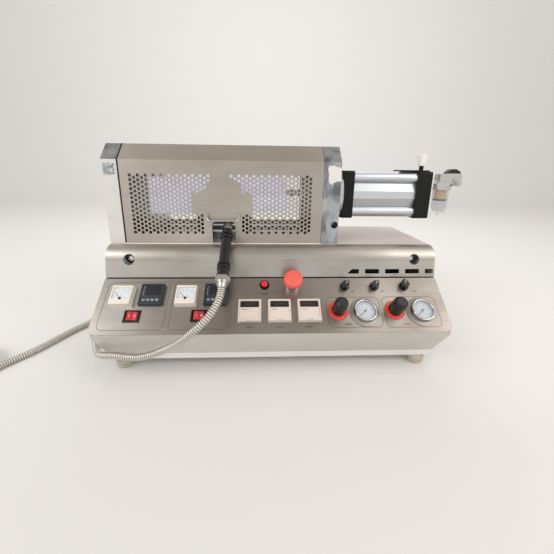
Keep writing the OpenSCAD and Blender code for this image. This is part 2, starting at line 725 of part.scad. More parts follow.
module selector(x, turn) machine_frame() on_panel(x, selector_q) {
    translate([0, 0, -8]) cylinder(h = 10, d = 6);
    translate([0, 0, fit]) rotate([0, 0, turn]) {
        cylinder(h = 4, d = selector_d + 2);
        cylinder(h = 16, d = selector_d - 3);
        translate([-2.5, -selector_d / 2, 3]) cube([5, selector_d + 2, 13]);
    }
}
module selector_1() color("black") selector(selector_x[0], -45);
module selector_2() color("black") selector(selector_x[1], -45);
module selector_3() color("black") selector(selector_x[2], 0);

module regulator_rings() color("red") machine_frame() for (x = regulator_x) on_panel(x, regulator_q) difference() {
    union() {
        rotate_extrude() polygon([[11, 0], [21, 0], [21, 2], [19.5, 4], [11, 4]]);
        translate([0, 0, -26]) cylinder(h = 27, d = 23);
    }
    translate([0, 0, -20]) cylinder(h = 40, d = 15);
}

module regulator_knob(x) machine_frame() on_panel(x, regulator_q) {
    translate([0, 0, -16]) cylinder(h = 24, d = 13);
    difference() {
        translate([0, 0, 4 + fit]) rotate_extrude() polygon([
            [0, 0], [regulator_d / 2, 0], [regulator_d / 2 - 0.6, regulator_out - 10],
            [regulator_d / 2 - 2.5, regulator_out - 6], [regulator_d / 2 - 6, regulator_out - 4.4],
            [0, regulator_out - 4.4]
        ]);
        for (a = [0:20:359]) rotate([0, 0, a]) translate([regulator_d / 2 + 0.6, 0, 14])
            cylinder(h = regulator_out, d = 3, $fn = 16);
    }
}
module regulator_knob_1() color("black") regulator_knob(regulator_x[0]);
module regulator_knob_2() color("black") regulator_knob(regulator_x[1]);

module gauge_cases() color("silver") machine_frame() for (x = gauge_x) on_panel(x, gauge_q) difference() {
    union() {
        rotate_extrude() polygon([
            [0, 0], [gauge_flange_d / 2, 0], [gauge_flange_d / 2, 1.5], [gauge_d / 2 + 1, 3.5],
            [gauge_d / 2, gauge_out - 2], [gauge_d / 2 - 1.5, gauge_out], [0, gauge_out]
        ]);
        translate([0, 0, -24]) cylinder(h = 24.1, d = gauge_d - 6);
    }
    translate([0, 0, gauge_out - 7]) cylinder(h = 8, d = gauge_d - 6);
}

module gauge_needle(x) machine_frame() on_panel(x, gauge_q) translate([0, 0, gauge_out - 6.4]) rotate([0, 0, 130]) {
    cylinder(h = 2.6, d = 4);
    translate([-0.5, -6, 1]) cube([1, 21, 0.7]);
}
module gauge_needle_1() color("black") gauge_needle(gauge_x[0]);
module gauge_needle_2() color("black") gauge_needle(gauge_x[1]);

// conduits
module gland_stem() {
    rod_x(-9, 0, elbow_d + 6, $fn = 6);
    rod_x(-1, sheet_t + 10, conduit_d + 2);
}

// an elbow for the barrel's conduit and a straight gland for the lead
module conduit_glands() color("silver") machine_frame() {
    translate([0, gland_y[0], gland_z]) difference() {
        union() {
            gland_stem();
            rod_x(-elbow_l, -8, elbow_d);
            translate([-elbow_l, 0, 0]) {
                sphere(d = elbow_d);
                rotate([90, 0, 0]) cylinder(h = 24, d = elbow_d);
            }
        }
        translate([-elbow_l, -10, 0]) rotate([90, 0, 0]) cylinder(h = 16, d = conduit_d);
    }
    translate([0, gland_y[1], gland_z]) difference() {
        union() {
            gland_stem();
            rod_x(-gland_l, -8, elbow_d);
        }
        rod_x(-gland_l - 1, sheet_t + 11, conduit_d);
    }
}

function unit(v) = v / norm(v);
function direction(p, i) = unit(p[min(i + 1, len(p) - 1)] - p[max(i - 1, 0)]);
function side(d) = unit(cross(d, abs(d[2]) > 0.9 ? [0, 1, 0] : [0, 0, 1]));
function ring(c, d, r, n) = [for (k = [0:n - 1]) c + r * (cos(360 * k / n) * side(d) + sin(360 * k / n) * cross(side(d), d))];

module swept_tube(p, r, n) polyhedron(
    points = [for (i = [0:len(p) - 1]) each ring(p[i], direction(p, i), r, n)],
    faces = concat(
        [[for (k = [n - 1:-1:0]) k]],
        [for (i = [0:len(p) - 2], k = [0:n - 1]) each [
            [i * n + k, i * n + (k + 1) % n, (i + 1) * n + k],
            [i * n + (k + 1) % n, (i + 1) * n + (k + 1) % n, (i + 1) * n + k]
        ]],
        [[for (k = [0:n - 1]) (len(p) - 1) * n + k]]
    )
);

handle_dir = [0, -cos(handle_droop), -sin(handle_droop)];
nut_seat = [handle_x, axis_y, axis_z] + handle_dir * (nut_end - 8);
nut_face = [handle_x, axis_y, axis_z] + handle_dir * (nut_end + 4);
elbow_seat = [-elbow_l, gland_y[0] - 22, gland_z];
elbow_end = [-elbow_l, gland_y[0] - 10, gland_z];
gun_route = concat([nut_seat, nut_face], gun_points, [elbow_seat, elbow_end]);
lead_route = concat([[-4, gland_y[1], gland_z], [-gland_l, gland_y[1], gland_z]], lead_points);

module gun_conduit() color("silver") machine_frame() swept_tube(gun_route, conduit_d / 2, 10);
module lead_conduit() color("silver") machine_frame() swept_tube(lead_route, conduit_d / 2, 10);

module lead_coil() color("silver") machine_frame() translate([coil_center[0], coil_center[1], 0]) rotate_extrude()
    translate([coil_mean_d / 2 - conduit_d, 0]) square([conduit_d * 2, coil_h]);

module lead_connector() color("dimgray") machine_frame()
    translate([coil_center[0] - coil_mean_d / 2, coil_center[1] - connector_l / 2, coil_h + connector_d / 2])
        rotate([0, 0, 90]) {
            rod_x(0, connector_l - 16, connector_d);
            rod_x(connector_l - 16, connector_l, connector_d - 6);
        }

chassis_pan();
casing();
control_panel();
nose_cover();
deck_plate();
feet();
end_plate_left();
end_plate_right();
rear_cover();
guard();
guard_shield();
guard_hinge();
bed_rails();
mould_carrier();
mould();
barrel_cradle();
barrel();
handle_arm();
handle_grip();
handle_nut();
adapter_flange();
cylinder_bolts();
cylinder_front_cap();
cylinder_tube();
cylinder_rear_cap();
rear_cap_plate();
ram();
plunger();
port_plate();
silencer();
filter_body();
filter_bowl();
filter_element();
filter_knob();
meter_cases();
meter_needle_1();
meter_needle_2();
instrument_windows();
controllers();
timers();
rocker_frames();
rocker_1();
rocker_2();
button_collars();
push_button();
stop_button();
selector_1();
selector_2();
selector_3();
regulator_rings();
regulator_knob_1();
regulator_knob_2();
gauge_cases();
gauge_needle_1();
gauge_needle_2();
conduit_glands();
gun_conduit();
lead_conduit();
lead_coil();
lead_connector();
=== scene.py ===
# %% [markdown]
# Bench-top injection moulding machine. A console in folded sheet metal carries a guarded press
# bed, an air cylinder and a hand-held heated barrel on an armoured conduit. The exact solids come
# from the CAD part. They could be drawn again, but loaded ones can't differ from it. This lesson
# gives them their finishes and adds what is too fine for the solids: ribbed hoses, dials,
# displays, protective film, etched lines and screws.

import math

import bmesh
import bpy
from mathutils import Matrix, Vector


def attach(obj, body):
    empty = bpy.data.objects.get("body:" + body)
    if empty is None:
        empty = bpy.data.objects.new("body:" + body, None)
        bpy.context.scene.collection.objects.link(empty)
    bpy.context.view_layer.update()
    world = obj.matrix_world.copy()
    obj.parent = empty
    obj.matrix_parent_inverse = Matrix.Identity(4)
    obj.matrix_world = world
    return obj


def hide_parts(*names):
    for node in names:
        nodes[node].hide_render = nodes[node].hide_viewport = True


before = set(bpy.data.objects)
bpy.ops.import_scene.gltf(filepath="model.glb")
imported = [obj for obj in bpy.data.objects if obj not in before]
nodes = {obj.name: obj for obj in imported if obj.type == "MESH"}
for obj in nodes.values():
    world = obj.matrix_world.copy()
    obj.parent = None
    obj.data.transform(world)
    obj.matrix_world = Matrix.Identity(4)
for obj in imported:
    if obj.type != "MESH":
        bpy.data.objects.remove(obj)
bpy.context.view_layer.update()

# %% [markdown]
# The drawing of the machine counts from the left edge of the base, from the panel's lip and
# from the bench, in millimetres. The frame counts from the middle of the footprint in metres.
# The numbers could be typed in metres, but a drawing's millimetres are easier to read and check,
# so small functions turn one into the other.

# %% Places on the machine
MILLI = 0.001
MIDDLE = Vector((416, 179, 0))
LIP_Z = 124
TILT = math.radians(40.5)
UNTURNED = Matrix.Identity(4)


def at(x, y, z):
    """A point of the drawing, in metres in the frame."""
    return (Vector((x, y, z)) - MIDDLE) * MILLI


def spun(degrees, axis):
    """Matrix of a turn round an axis."""
    return Matrix.Rotation(math.radians(degrees), 4, axis)


def on_machine(x, y, z, turn=UNTURNED):
    """Matrix that puts a mesh made in millimetres at a point of the drawing."""
    return Matrix.Translation(at(x, y, z)) @ turn @ Matrix.Scale(MILLI, 4)


def on_panel(x, up, out=0):
    """The same on the sloping panel: local X along it, local Y up the slope, local Z out of it."""
    y = up * math.cos(TILT) - out * math.sin(TILT)
    z = LIP_Z + up * math.sin(TILT) + out * math.cos(TILT)
    return on_machine(x, y, z, Matrix.Rotation(TILT, 4, "X"))


def new_object(name, data):
    """Makes an object and links it into the scene."""
    made = bpy.data.objects.new(name, data)
    bpy.context.scene.collection.objects.link(made)
    return made


print("panel's upper edge at", [round(c, 4) for c in on_panel(0, 124).translation])

# %% [markdown]
# The camera stands a little left of the base's middle, about half a metre in front of it, and
# looks a little down. It could be set by eye, but its place and tilt were worked out from the
# edges of the console, so that each edge falls where the picture shows it.

# %% Camera
PITCH = math.radians(-14.75)
YAW = math.radians(2.59)
ROLL = math.radians(0.74)
FOCAL_SHARE = 298.99 / 554
SENSOR = 36
CAMERA_AT = (-0.07462, -0.70711, 0.44007)
SHIFT = (0.001, -0.054)

forward = Vector(
    (math.sin(YAW) * math.cos(PITCH), math.cos(YAW) * math.cos(PITCH), math.sin(PITCH))
)
level_right = Vector((math.cos(YAW), -math.sin(YAW), 0))
level_up = level_right.cross(forward)
right = math.cos(ROLL) * level_right + math.sin(ROLL) * level_up
up = right.cross(forward)
camera = new_object("camera", bpy.data.cameras.new("camera"))
axes = Matrix((right, up, -forward)).transposed().to_4x4()
camera.matrix_world = Matrix.Translation(CAMERA_AT) @ axes
camera.data.sensor_width = SENSOR
camera.data.lens = FOCAL_SHARE * SENSOR
camera.data.shift_x, camera.data.shift_y = SHIFT
bpy.context.scene.camera = camera
print("lens", round(camera.data.lens, 2), "mm")

# %% [markdown]
# Every colour is written as a hex code, as a paint shop or a screen gives it. Blender wants
# linear light, so one function turns the code into that. Nodes could be placed and wired by
# hand in the editor. In a script small helpers do it: one adds a node with its settings and
# links, one starts a material from the surface shader's own sockets, and one links patterns
# to these.

# %% Colour and node helpers


def linear(code):
    """sRGB hex code to a linear colour."""
    parts = [int(code[i : i + 2], 16) / 255 for i in (1, 3, 5)]
    light = [c / 12.92 if c <= 0.04045 else ((c + 0.055) / 1.055) ** 2.4 for c in parts]
    return [*light, 1.0]


def add(tree, kind, links=None, **settings):
    """Adds a node. links maps an input's name or number to a value or to another node's output."""
    made = tree.nodes.new(kind)
    for key, value in settings.items():
        setattr(made, key, value)
    for key, value in (links or {}).items():
        if isinstance(value, bpy.types.NodeSocket):
            tree.links.new(value, made.inputs[key])
        else:
            made.inputs[key].default_value = value
    return made


def surface(name, color, **sockets):
    """Starts a material. Returns it, its tree and its surface shader."""
    made = bpy.data.materials.new(name)
    made.use_nodes = True
    shader = made.node_tree.nodes["Principled BSDF"]
    shader.inputs["Base Color"].default_value = linear(color)
    made.diffuse_color = linear(color)
    for key, value in sockets.items():
        shader.inputs[key.replace("_", " ")].default_value = value
    return made, made.node_tree, shader


def feed(shader, **patterns):
    """Links patterns to the surface shader's sockets."""
    for key, value in patterns.items():
        shader.id_data.links.new(value, shader.inputs[key.replace("_", " ")])


def math_node(tree, operation, *values, clamp=False):
    """One step of arithmetic in a tree."""
    sockets = dict(enumerate(values))
    return add(tree, "ShaderNodeMath", sockets, operation=operation, use_clamp=clamp).outputs[0]


print("white is", [round(c, 3) for c in linear("#ffffff")])

# %% [markdown]
# No real surface has one flat value. Stains, scratches and grain could be painted as pictures.
# Noise that lives in the object's own metres needs no pictures and no unwrapping, and it keeps
# its size on every piece, so it makes all of them here.

# %% Patterns


def coordinate(tree, axis, space="Object"):
    """One coordinate of the shaded point. The Normal space gives its surface's direction."""
    where = add(tree, "ShaderNodeTexCoord").outputs[space]
    return add(tree, "ShaderNodeSeparateXYZ", {0: where}).outputs[axis]


def noise(tree, scale, detail=3, stretch=(1, 1, 1), rough=0.55, twist=0.0):
    """Noise in the object's own metres. scale is how many patches lie in a metre."""
    where = add(tree, "ShaderNodeTexCoord").outputs["Object"]
    laid = add(tree, "ShaderNodeMapping", {"Vector": where, "Scale": stretch}).outputs[0]
    sockets = {"Vector": laid, "Scale": scale, "Detail": detail, "Roughness": rough}
    return add(tree, "ShaderNodeTexNoise", {**sockets, "Distortion": twist}).outputs["Fac"]


def span(tree, value, low, high, start=0.3, end=0.7):
    """Spreads a pattern between two levels."""
    sockets = {0: value, 1: start, 2: end, 3: low, 4: high}
    return add(tree, "ShaderNodeMapRange", sockets).outputs[0]


def blend_colors(tree, factor, first, second):
    """Mixes two colours, given as hex codes or sockets."""
    mix = add(tree, "ShaderNodeMix", {0: factor}, data_type="RGBA")
    for place, value in ((6, first), (7, second)):
        if isinstance(value, str):
            mix.inputs[place].default_value = linear(value)
        else:
            tree.links.new(value, mix.inputs[place])
    return mix.outputs[2]


def bumped(shader, height, depth, strength):
    """Gives the surface a relief. depth is in metres."""
    sockets = {"Height": height, "Distance": depth, "Strength": strength}
    feed(shader, Normal=add(shader.id_data, "ShaderNodeBump", sockets).outputs[0])


print("a pattern is read between", span.__defaults__)

# %% [markdown]
# The panel, the curved nose and the guard are folded from brushed stainless sheet. A belt
# leaves scratches about 0.2 mm apart along the sheet. They are drawn 1 mm apart here, so that
# they show. They smear a reflection across their own direction, so a knob's image in the panel
# is a soft upright band. Hands and oil leave duller, browner patches a few centimetres wide.
# The scratches could be modelled, but there are thousands of them. Noise that is stretched along
# the sheet draws them, and the shader's own anisotropy smears the reflections.

# %% Brushed stainless steel


def brushed_steel(name, color, stain, roughness, patches=7):
    """Stainless sheet with belt scratches along X and the smudges of use."""
    made, tree, shader = surface(
        name, color, Metallic=1.0, Anisotropic=0.5, Anisotropic_Rotation=0.25
    )
    # no face's normal is this line, so that none loses its direction
    grain = add(tree, "ShaderNodeCombineXYZ", {0: 1.0, 1: 0.021, 2: 0.034}).outputs[0]
    scratches = noise(tree, 1.0, 3, (9, 900, 900))
    smudges = noise(tree, patches, 3, (1, 1.5, 1.5), 0.5)
    clouds = noise(tree, patches * 2.3, 2)
    tint = blend_colors(tree, span(tree, smudges, 0, 1, 0.35, 0.68), color, stain)
    streaked = blend_colors(tree, span(tree, scratches, 0, 0.08), tint, "#ffffff")
    dull = span(tree, smudges, roughness - 0.04, roughness + 0.07, 0.35, 0.7)
    dull = math_node(tree, "ADD", dull, span(tree, clouds, -0.02, 0.03))
    feed(shader, Tangent=grain, Base_Color=streaked, Roughness=dull)
    bumped(shader, scratches, 0.00002, 0.12)
    return made


panel_steel = brushed_steel("belt-brushed stainless panel", "#a7a29c", "#8f877e", 0.36)
nose_steel = brushed_steel("brushed stainless nose sheet", "#c2bdb6", "#aba49b", 0.36, patches=6)
guard_steel = brushed_steel("brushed stainless guard sheet", "#c2bab0", "#aea59b", 0.42, patches=5)
rear_steel = brushed_steel("brushed stainless back sheet", "#aea8a0", "#989188", 0.4)
print("materials so far", len(bpy.data.materials))

# %% [markdown]
# The base is steel sheet with a stoved enamel: pearly cream on the front and sides, white on the
# chassis pan and a glossy ivory on the deck, tinted pink there as a painted reflection of red
# surroundings. Enamel shows a faint orange peel, about 2 mm from crest to crest, and wears dull
# where things are set down. A flat colour would look like plastic, so a fine noise lifts the
# surface, and a broad one changes colour and gloss together.

# %% Enamel


def enamel(name, color, shade, roughness, coat=0.35):
    """Stoved paint on sheet steel."""
    made, tree, shader = surface(name, color, Coat_Weight=coat, Coat_Roughness=0.12)
    wear = noise(tree, 5, 2)
    tint = blend_colors(tree, span(tree, wear, 0, 0.6, 0.4, 0.75), color, shade)
    feed(shader, Base_Color=tint, Roughness=span(tree, wear, roughness, roughness + 0.16))
    bumped(shader, noise(tree, 480, 2), 0.00003, 0.3)
    return made


fascia_enamel = enamel("stoved pearl enamel", "#d1ccc4", "#bdb8ae", 0.34)
pan_enamel = enamel("stoved white enamel", "#eeece9", "#dad8d3", 0.36)
# painted reflection: the ivory is tinted pink, as if red surroundings were mirrored in it
deck_enamel = enamel("stoved ivory enamel", "#dfceca", "#d6c5c1", 0.3, 0.3)
plate_enamel = enamel("thin white primer", "#e4e2de", "#cbc8c3", 0.4)
print("materials so far", len(bpy.data.materials))

# %% [markdown]
# The end plates are thick aluminium, milled and then painted off-white by hand. On the left one
# the paint has stayed, but for a rubbed spot near the top and the bare chamfer, and it is dirty
# lower down. The right one is mostly bare: bright metal with dark smears, and one scrap of paint.
# The paint could be a picture, but a mask needs only the places of its edges in millimetres.
# Noise, cut off sharply, frays the mask.

# %% Painted aluminium plates


def box_mask(tree, across, upward, soft):
    """1 inside a box seen from the front, in the drawing's millimetres. soft is its edge's width."""
    mask = 1.0
    for axis, limits, middle in (("X", across, MIDDLE.x), ("Z", upward, MIDDLE.z)):
        low, high = [(limit - middle) * MILLI for limit in limits]
        place = coordinate(tree, axis)
        for step in ((0, 1, low, low + soft), (1, 0, high - soft, high)):
            mask = math_node(tree, "MULTIPLY", mask, span(tree, place, *step))
    return mask


BEHIND_Y = 178


def painted_plate(name, paint, painted, soft, fray, behind=0.0, rubbed=None):
    """Aluminium plate. painted is the box where paint is left on its front, fray how ragged that
    box is, behind how much of the rest is painted, and rubbed a box of bare spots."""
    made, tree, shader = surface(name, "#a4a9ae")
    cloud = noise(tree, 30, 6, (1, 1, 0.7), 0.65)
    smears = noise(tree, 24, 5, (1, 1, 0.3), 0.6, 0.3)
    metal = blend_colors(tree, span(tree, smears, 0, 1, 0.34, 0.68), "#c6cacd", "#9599a0")
    stains = noise(tree, 33, 4, (1, 1, 0.6), 0.5, 0.3)
    metal = blend_colors(tree, span(tree, stains, 0, 0.8, 0.48, 0.66), metal, "#5c6065")
    edge = (BEHIND_Y - MIDDLE.y) * MILLI
    back = span(tree, coordinate(tree, "Y"), 0, 1, edge, edge + 0.002)
    front = box_mask(tree, *painted, soft)
    total = add(tree, "ShaderNodeMix", {0: back, 2: front, 3: behind}).outputs[0]
    ragged = math_node(tree, "ADD", span(tree, cloud, -fray, fray), total)
    left = span(tree, ragged, 0, 1, 0.46, 0.52)
    if rubbed:
        spots = span(tree, noise(tree, 230, 3, rough=0.6), 1, 0, 0.5, 0.6)
        spots = math_node(tree, "MULTIPLY", spots, box_mask(tree, *rubbed, 0.004))
        left = math_node(tree, "SUBTRACT", left, spots, clamp=True)
    dirt = noise(tree, 38, 6, (1, 1, 0.7), 0.7)
    dirty = blend_colors(tree, span(tree, dirt, 0, 0.5, 0.55, 0.8), paint, "#a5a49f")
    bare = math_node(tree, "SUBTRACT", 1.0, left)
    patchy = blend_colors(tree, left, metal, dirty)
    feed(shader, Base_Color=patchy, Metallic=bare, Roughness=span(tree, cloud, 0.22, 0.42))
    bumped(shader, left, 0.00012, 0.4)
    return made


CHAMFER_Z = 455
left_plate = painted_plate(
    "hand-painted aluminium plate", "#dbd8d4", ((-60, 100), (0, CHAMFER_Z)), 0.0006, 0.0, 1.0,
    rubbed=((-1, 27), (421, 449)),
)  # fmt: skip
right_plate = painted_plate(
    "bare aluminium plate with a scrap of paint", "#e9e6e1", ((481, 530), (402, 457)), 0.016, 0.62
)
print("materials so far", len(bpy.data.materials))

# %% [markdown]
# The cylinder's tube is a drawn aluminium extrusion, anodised clear. The die leaves hair-fine
# lines along it, and the oxide makes the metal pale, cool and satin, so that each of its faces
# shows one even tone. The faces that look down are painted greyer, as painted shade. Each face
# could have a material of its own, but the painted tone follows by itself from the way a face looks.

# %% Anodised extrusion
extrusion, tree, shader = surface("clear anodised extrusion", "#d8dde2", Metallic=1.0)
lines = noise(tree, 1.0, 2, (2, 1100, 1100))
drawn = blend_colors(tree, span(tree, lines, 0, 0.5), "#d8dde2", "#ccd1d6")
# painted shade: faces that look down are blended towards grey
painted_shade_below = span(tree, coordinate(tree, "Z", "Normal"), 0.9, 0, -0.3, -0.12)
pale = blend_colors(tree, painted_shade_below, drawn, "#b6b9bb")
feed(shader, Base_Color=pale, Roughness=span(tree, lines, 0.38, 0.44))
print("extrusion has", len(tree.nodes), "nodes")

# %% [markdown]
# Plated, cast and turned parts differ in their colour and in how sharply they reflect, and in
# little else. Each could have its own tree of nodes, but one function with two limits for the
# gloss makes them all. The noise between the limits keeps them from looking like new mirrors.

# %% Plated, cast and turned metal


def plain_metal(name, color, low, high, scale=60, depth=0.00002):
    """Metal whose gloss changes a little from place to place."""
    made, tree, shader = surface(name, color, Metallic=1.0)
    feed(shader, Roughness=span(tree, noise(tree, scale, 4), low, high))
    bumped(shader, noise(tree, scale * 12, 2), depth, 0.3)
    return made


nickel = plain_metal("nickel-plated brass", "#c6c4bf", 0.24, 0.38)
die_cast = plain_metal("bright zinc die casting", "#cdccc9", 0.24, 0.36, 25, 0.000005)
turned = plain_metal("turned aluminium", "#c4c7ca", 0.22, 0.36, 40)
satin_steel = plain_metal("satin pressed steel flange", "#aaa69f", 0.46, 0.58)
ground_steel = plain_metal("ground tool steel", "#9c9c9d", 0.25, 0.42)
zinc = plain_metal("zinc-plated screw steel", "#bdbab2", 0.22, 0.38)
polished = plain_metal("hard chromed rod", "#cfd0d2", 0.07, 0.14, 30)
worn_rim = plain_metal("stainless rim polished by hands", "#dedcd8", 0.16, 0.28)
print("materials so far", len(bpy.data.materials))

# %% [markdown]
# Moulded plastic, epoxy paint and blackened steel have a fine grain, and turn paler where hands
# and tools touch them. One function serves them too. The grain could be modelled, but it is less
# than a tenth of a millimetre deep, so it is a relief in the shader.

# %% Paint, oxide and moulded plastic


def dull_coat(name, color, scuff, roughness, grain=900, depth=0.00005, **sockets):
    """Paint, oxide or moulded plastic with a fine grain and paler scuffs."""
    made, tree, shader = surface(name, color, **sockets)
    wear = noise(tree, 35, 6, rough=0.7)
    tint = blend_colors(tree, span(tree, wear, 0, 1, 0.52, 0.8), color, scuff)
    dull = span(tree, wear, roughness - 0.05, roughness + 0.1)
    feed(shader, Base_Color=tint, Roughness=dull)
    bumped(shader, noise(tree, grain, 2), depth, 0.35)
    return made


cap_black = dull_coat(
    "black epoxy on cast caps", "#0a0c0c", "#121515", 0.55, 700, 0.00008, Specular_IOR_Level=0.3
)
oxide_black = dull_coat("blackened heater band steel", "#1c1d1f", "#34322f", 0.4)
grip_black = dull_coat("moulded phenolic grip", "#0d0e10", "#17181b", 0.26, Coat_Weight=0.2)
knob_black = dull_coat("moulded phenolic knob", "#0a090b", "#141216", 0.26, Coat_Weight=0.15)
case_black = dull_coat("textured slate ABS case", "#2b3037", "#3a4047", 0.4, 1300)
case_cream = dull_coat("moulded cream ABS case", "#e6d9cf", "#dacdc1", 0.4, 1300, 0.00002)
meter_cream = dull_coat("moulded ivory styrene", "#f2ebe0", "#e5dccb", 0.2, 900, 0.00001, Coat_Weight=0.4)
button_red = dull_coat("moulded red nylon", "#ea2f36", "#d42730", 0.27, 900, 0.00002, Coat_Weight=0.3)
rocker_red = dull_coat("moulded dark red nylon", "#c9202c", "#b21c27", 0.27, 900, 0.00002, Coat_Weight=0.3)
stop_red = dull_coat("sun-bleached signal red nylon", "#f4685a", "#ec5c4e", 0.45, 900, 0.00002)
ring_red = dull_coat("enamelled red brass ring", "#e94437", "#d5382c", 0.3, 500, 0.00002, Coat_Weight=0.4)
needle_grey = dull_coat("painted grey needle", "#707073", "#7d7d80", 0.4)
white_nylon = dull_coat("moulded white nylon", "#efece8", "#ded9d2", 0.36, 900, 0.00004)
# black strip that fills the gap at the guard's left edge
black_gap_strip = dull_coat("black gap strip", "#141415", "#1f1f20", 0.6)
# painted shade: the feet's cream is darker, for the shadow they stand in
foot_rubber = dull_coat("cast cream rubber", "#bbb5a6", "#a8a293", 0.6, 800, 0.0001)
print("materials so far", len(bpy.data.materials))

# %% [markdown]
# Two solids carry two finishes each. The filter's element is sintered bronze and stands on a
# black baffle. The two buttons' collars are one solid: the push button's, on the left, is black,
# and the emergency stop's is bright chrome. They could be cut apart, but the solids stay as the
# part gives them, so each material asks where on the machine it is.

# %% Finishes that change with the place
BAFFLE_Z = 373.2
sinter, tree, shader = surface("sintered bronze on a black baffle", "#e6b65f", Roughness=0.7)
upper = math_node(tree, "GREATER_THAN", coordinate(tree, "Z"), BAFFLE_Z * MILLI)
grains = blend_colors(tree, span(tree, noise(tree, 900, 3), 0, 1), "#e9bc68", "#cfa04f")
feed(shader, Base_Color=blend_colors(tree, upper, "#141314", grains))
bumped(shader, noise(tree, 1500, 2), 0.0002, 0.3)

COLLARS_SPLIT_X = -0.04
collar_metal, tree, shader = surface("chromed collar beside a black one", "#d0cfcd", Metallic=1.0)
right_one = math_node(tree, "GREATER_THAN", coordinate(tree, "X"), COLLARS_SPLIT_X)
blackened = blend_colors(tree, right_one, "#1d1c1d", "#d0cfcd")
feed(shader, Base_Color=blackened, Roughness=span(tree, right_one, 0.4, 0.14, 0, 1))
print("black left of", COLLARS_SPLIT_X, "m and below", BAFFLE_Z, "mm")

# %% [markdown]
# The hoses are wound from galvanised strip. Their grooves are dull, and painted dark as painted shade.
# A pattern along the hose would slide off its turns in a bend. The geometry tree knows how deep
# each point lies in its groove and writes that to an attribute, which is read here.

# %% Strip steel of the hoses
hose_steel, tree, shader = surface("galvanised strip steel", "#cfc8bc", Metallic=0.85)
groove = add(tree, "ShaderNodeAttribute", attribute_name="groove").outputs["Fac"]
# painted shade: the grooves are darkened by their depth
painted_groove_shade = blend_colors(tree, groove, "#e2dcd4", "#48423d")
feed(shader, Base_Color=painted_groove_shade, Roughness=span(tree, groove, 0.3, 0.6, 0, 1))
print("hose finish reads the attribute groove")

# %% [markdown]
# Clear parts are acrylic or polycarbonate: they bend light a little, and what gives them away
# is the bright line along their edges. Full transmission would be truer, but it is grainy in
# thin panes, so a low alpha shows what is behind them and the gloss stays.

# %% Clear plastics


def clear(name, color, roughness, alpha):
    """Transparent plastic. alpha is how much of it is seen."""
    return surface(name, color, Roughness=roughness, IOR=1.49, Alpha=alpha)[0]


window_clear = clear("clear acrylic window", "#f4f8fb", 0.05, 0.14)
shield_clear = clear("clear acrylic shield", "#dfe5ef", 0.12, 0.16)
bowl_clear = clear("clear polycarbonate bowl", "#b9bfc4", 0.04, 0.2)
print("materials so far", len(bpy.data.materials))

# %% [markdown]
# Every solid of the part gets its finish here. Each could be given beside its material, but in
# one table it shows at a glance that no node keeps a plain grey.

# %% Finishes of the solids
FINISHES = {
    pan_enamel: "chassis_pan",
    fascia_enamel: "casing",
    panel_steel: "control_panel",
    nose_steel: "nose_cover",
    deck_enamel: "deck_plate",
    foot_rubber: "feet",
    left_plate: "end_plate_left",
    right_plate: "end_plate_right",
    rear_steel: "rear_cover",
    guard_steel: "guard",
    shield_clear: "guard_shield",
    ground_steel: "guard_hinge bed_rails mould_carrier lead_connector",
    polished: "mould ram plunger",
    oxide_black: "barrel_cradle barrel",
    nickel: "handle_arm handle_nut conduit_glands",
    satin_steel: "gauge_cases",
    die_cast: "filter_body",
    grip_black: "handle_grip",
    turned: "adapter_flange",
    zinc: "cylinder_bolts",
    cap_black: "cylinder_front_cap cylinder_rear_cap port_plate",
    extrusion: "cylinder_tube",
    plate_enamel: "rear_cap_plate",
    white_nylon: "silencer",
    bowl_clear: "filter_bowl",
    sinter: "filter_element",
    knob_black: "filter_knob selector_1 selector_2 selector_3 regulator_knob_1 regulator_knob_2"
    " gauge_needle_1 gauge_needle_2 rocker_frames",
    needle_grey: "meter_needle_1 meter_needle_2",
    meter_cream: "meter_cases",
    window_clear: "instrument_windows",
    case_black: "controllers",
    case_cream: "timers",
    collar_metal: "button_collars",
    button_red: "push_button",
    rocker_red: "rocker_1 rocker_2",
    stop_red: "stop_button",
    ring_red: "regulator_rings",
    hose_steel: "gun_conduit lead_conduit lead_coil",
}
for finish, names in FINISHES.items():
    for name in names.split():
        nodes[name].data.materials.clear()
        nodes[name].data.materials.append(finish)
covered = " ".join(FINISHES.values()).split()
print("nodes with a finish", len(covered), "left out", sorted(set(nodes) - set(covered)))

# %% [markdown]
# Edges that a hand or a mould has rounded catch a line of light. They could be rounded in the
# solids, but it would cost many faces for less than a millimetre. A bevel modifier with a limit
# on the angle rounds the sharp ones alone, and the solids' own meshes stay as they are.

# %% Rounded edges
# widths in metres
ROUNDED_EDGES = {
    0.0012: "meter_cases",
    0.0009: "end_plate_left end_plate_right",
    0.0008: "filter_body cylinder_front_cap cylinder_rear_cap",
    0.0007: "timers",
    0.0006: "controllers mould_carrier",
    0.0005: "handle_nut",
    0.0004: "rocker_frames",
}
for width, names in ROUNDED_EDGES.items():
    for name in names.split():
        nodes[name].modifiers.new("weld", "WELD").merge_threshold = 0.00001
        bevel = nodes[name].modifiers.new("rounded edges", "BEVEL")
        bevel.width = width
        bevel.segments = 2
        bevel.limit_method = "ANGLE"
        bevel.angle_limit = math.radians(50)
        bevel.use_clamp_overlap = True
print("widths of rounded edges", len(ROUNDED_EDGES))

# %% [markdown]
# Pieces that the lesson adds are built in millimetres around their own middle, moved to their
# place in the mesh itself and left at the origin, as the solids are. They could be placed as
# objects, but a mesh in its place needs no second look at where its object stands. One function
# does the moving, gives the finish and ties the piece to the body it moves with.

# %% Making a piece
BLACK = "black_plastic"
WHITE = "white_plastic"


def as_mesh(name, built):
    """Turns a bmesh into a mesh."""
    mesh = bpy.data.meshes.new(name)
    built.to_mesh(mesh)
    built.free()
    return mesh


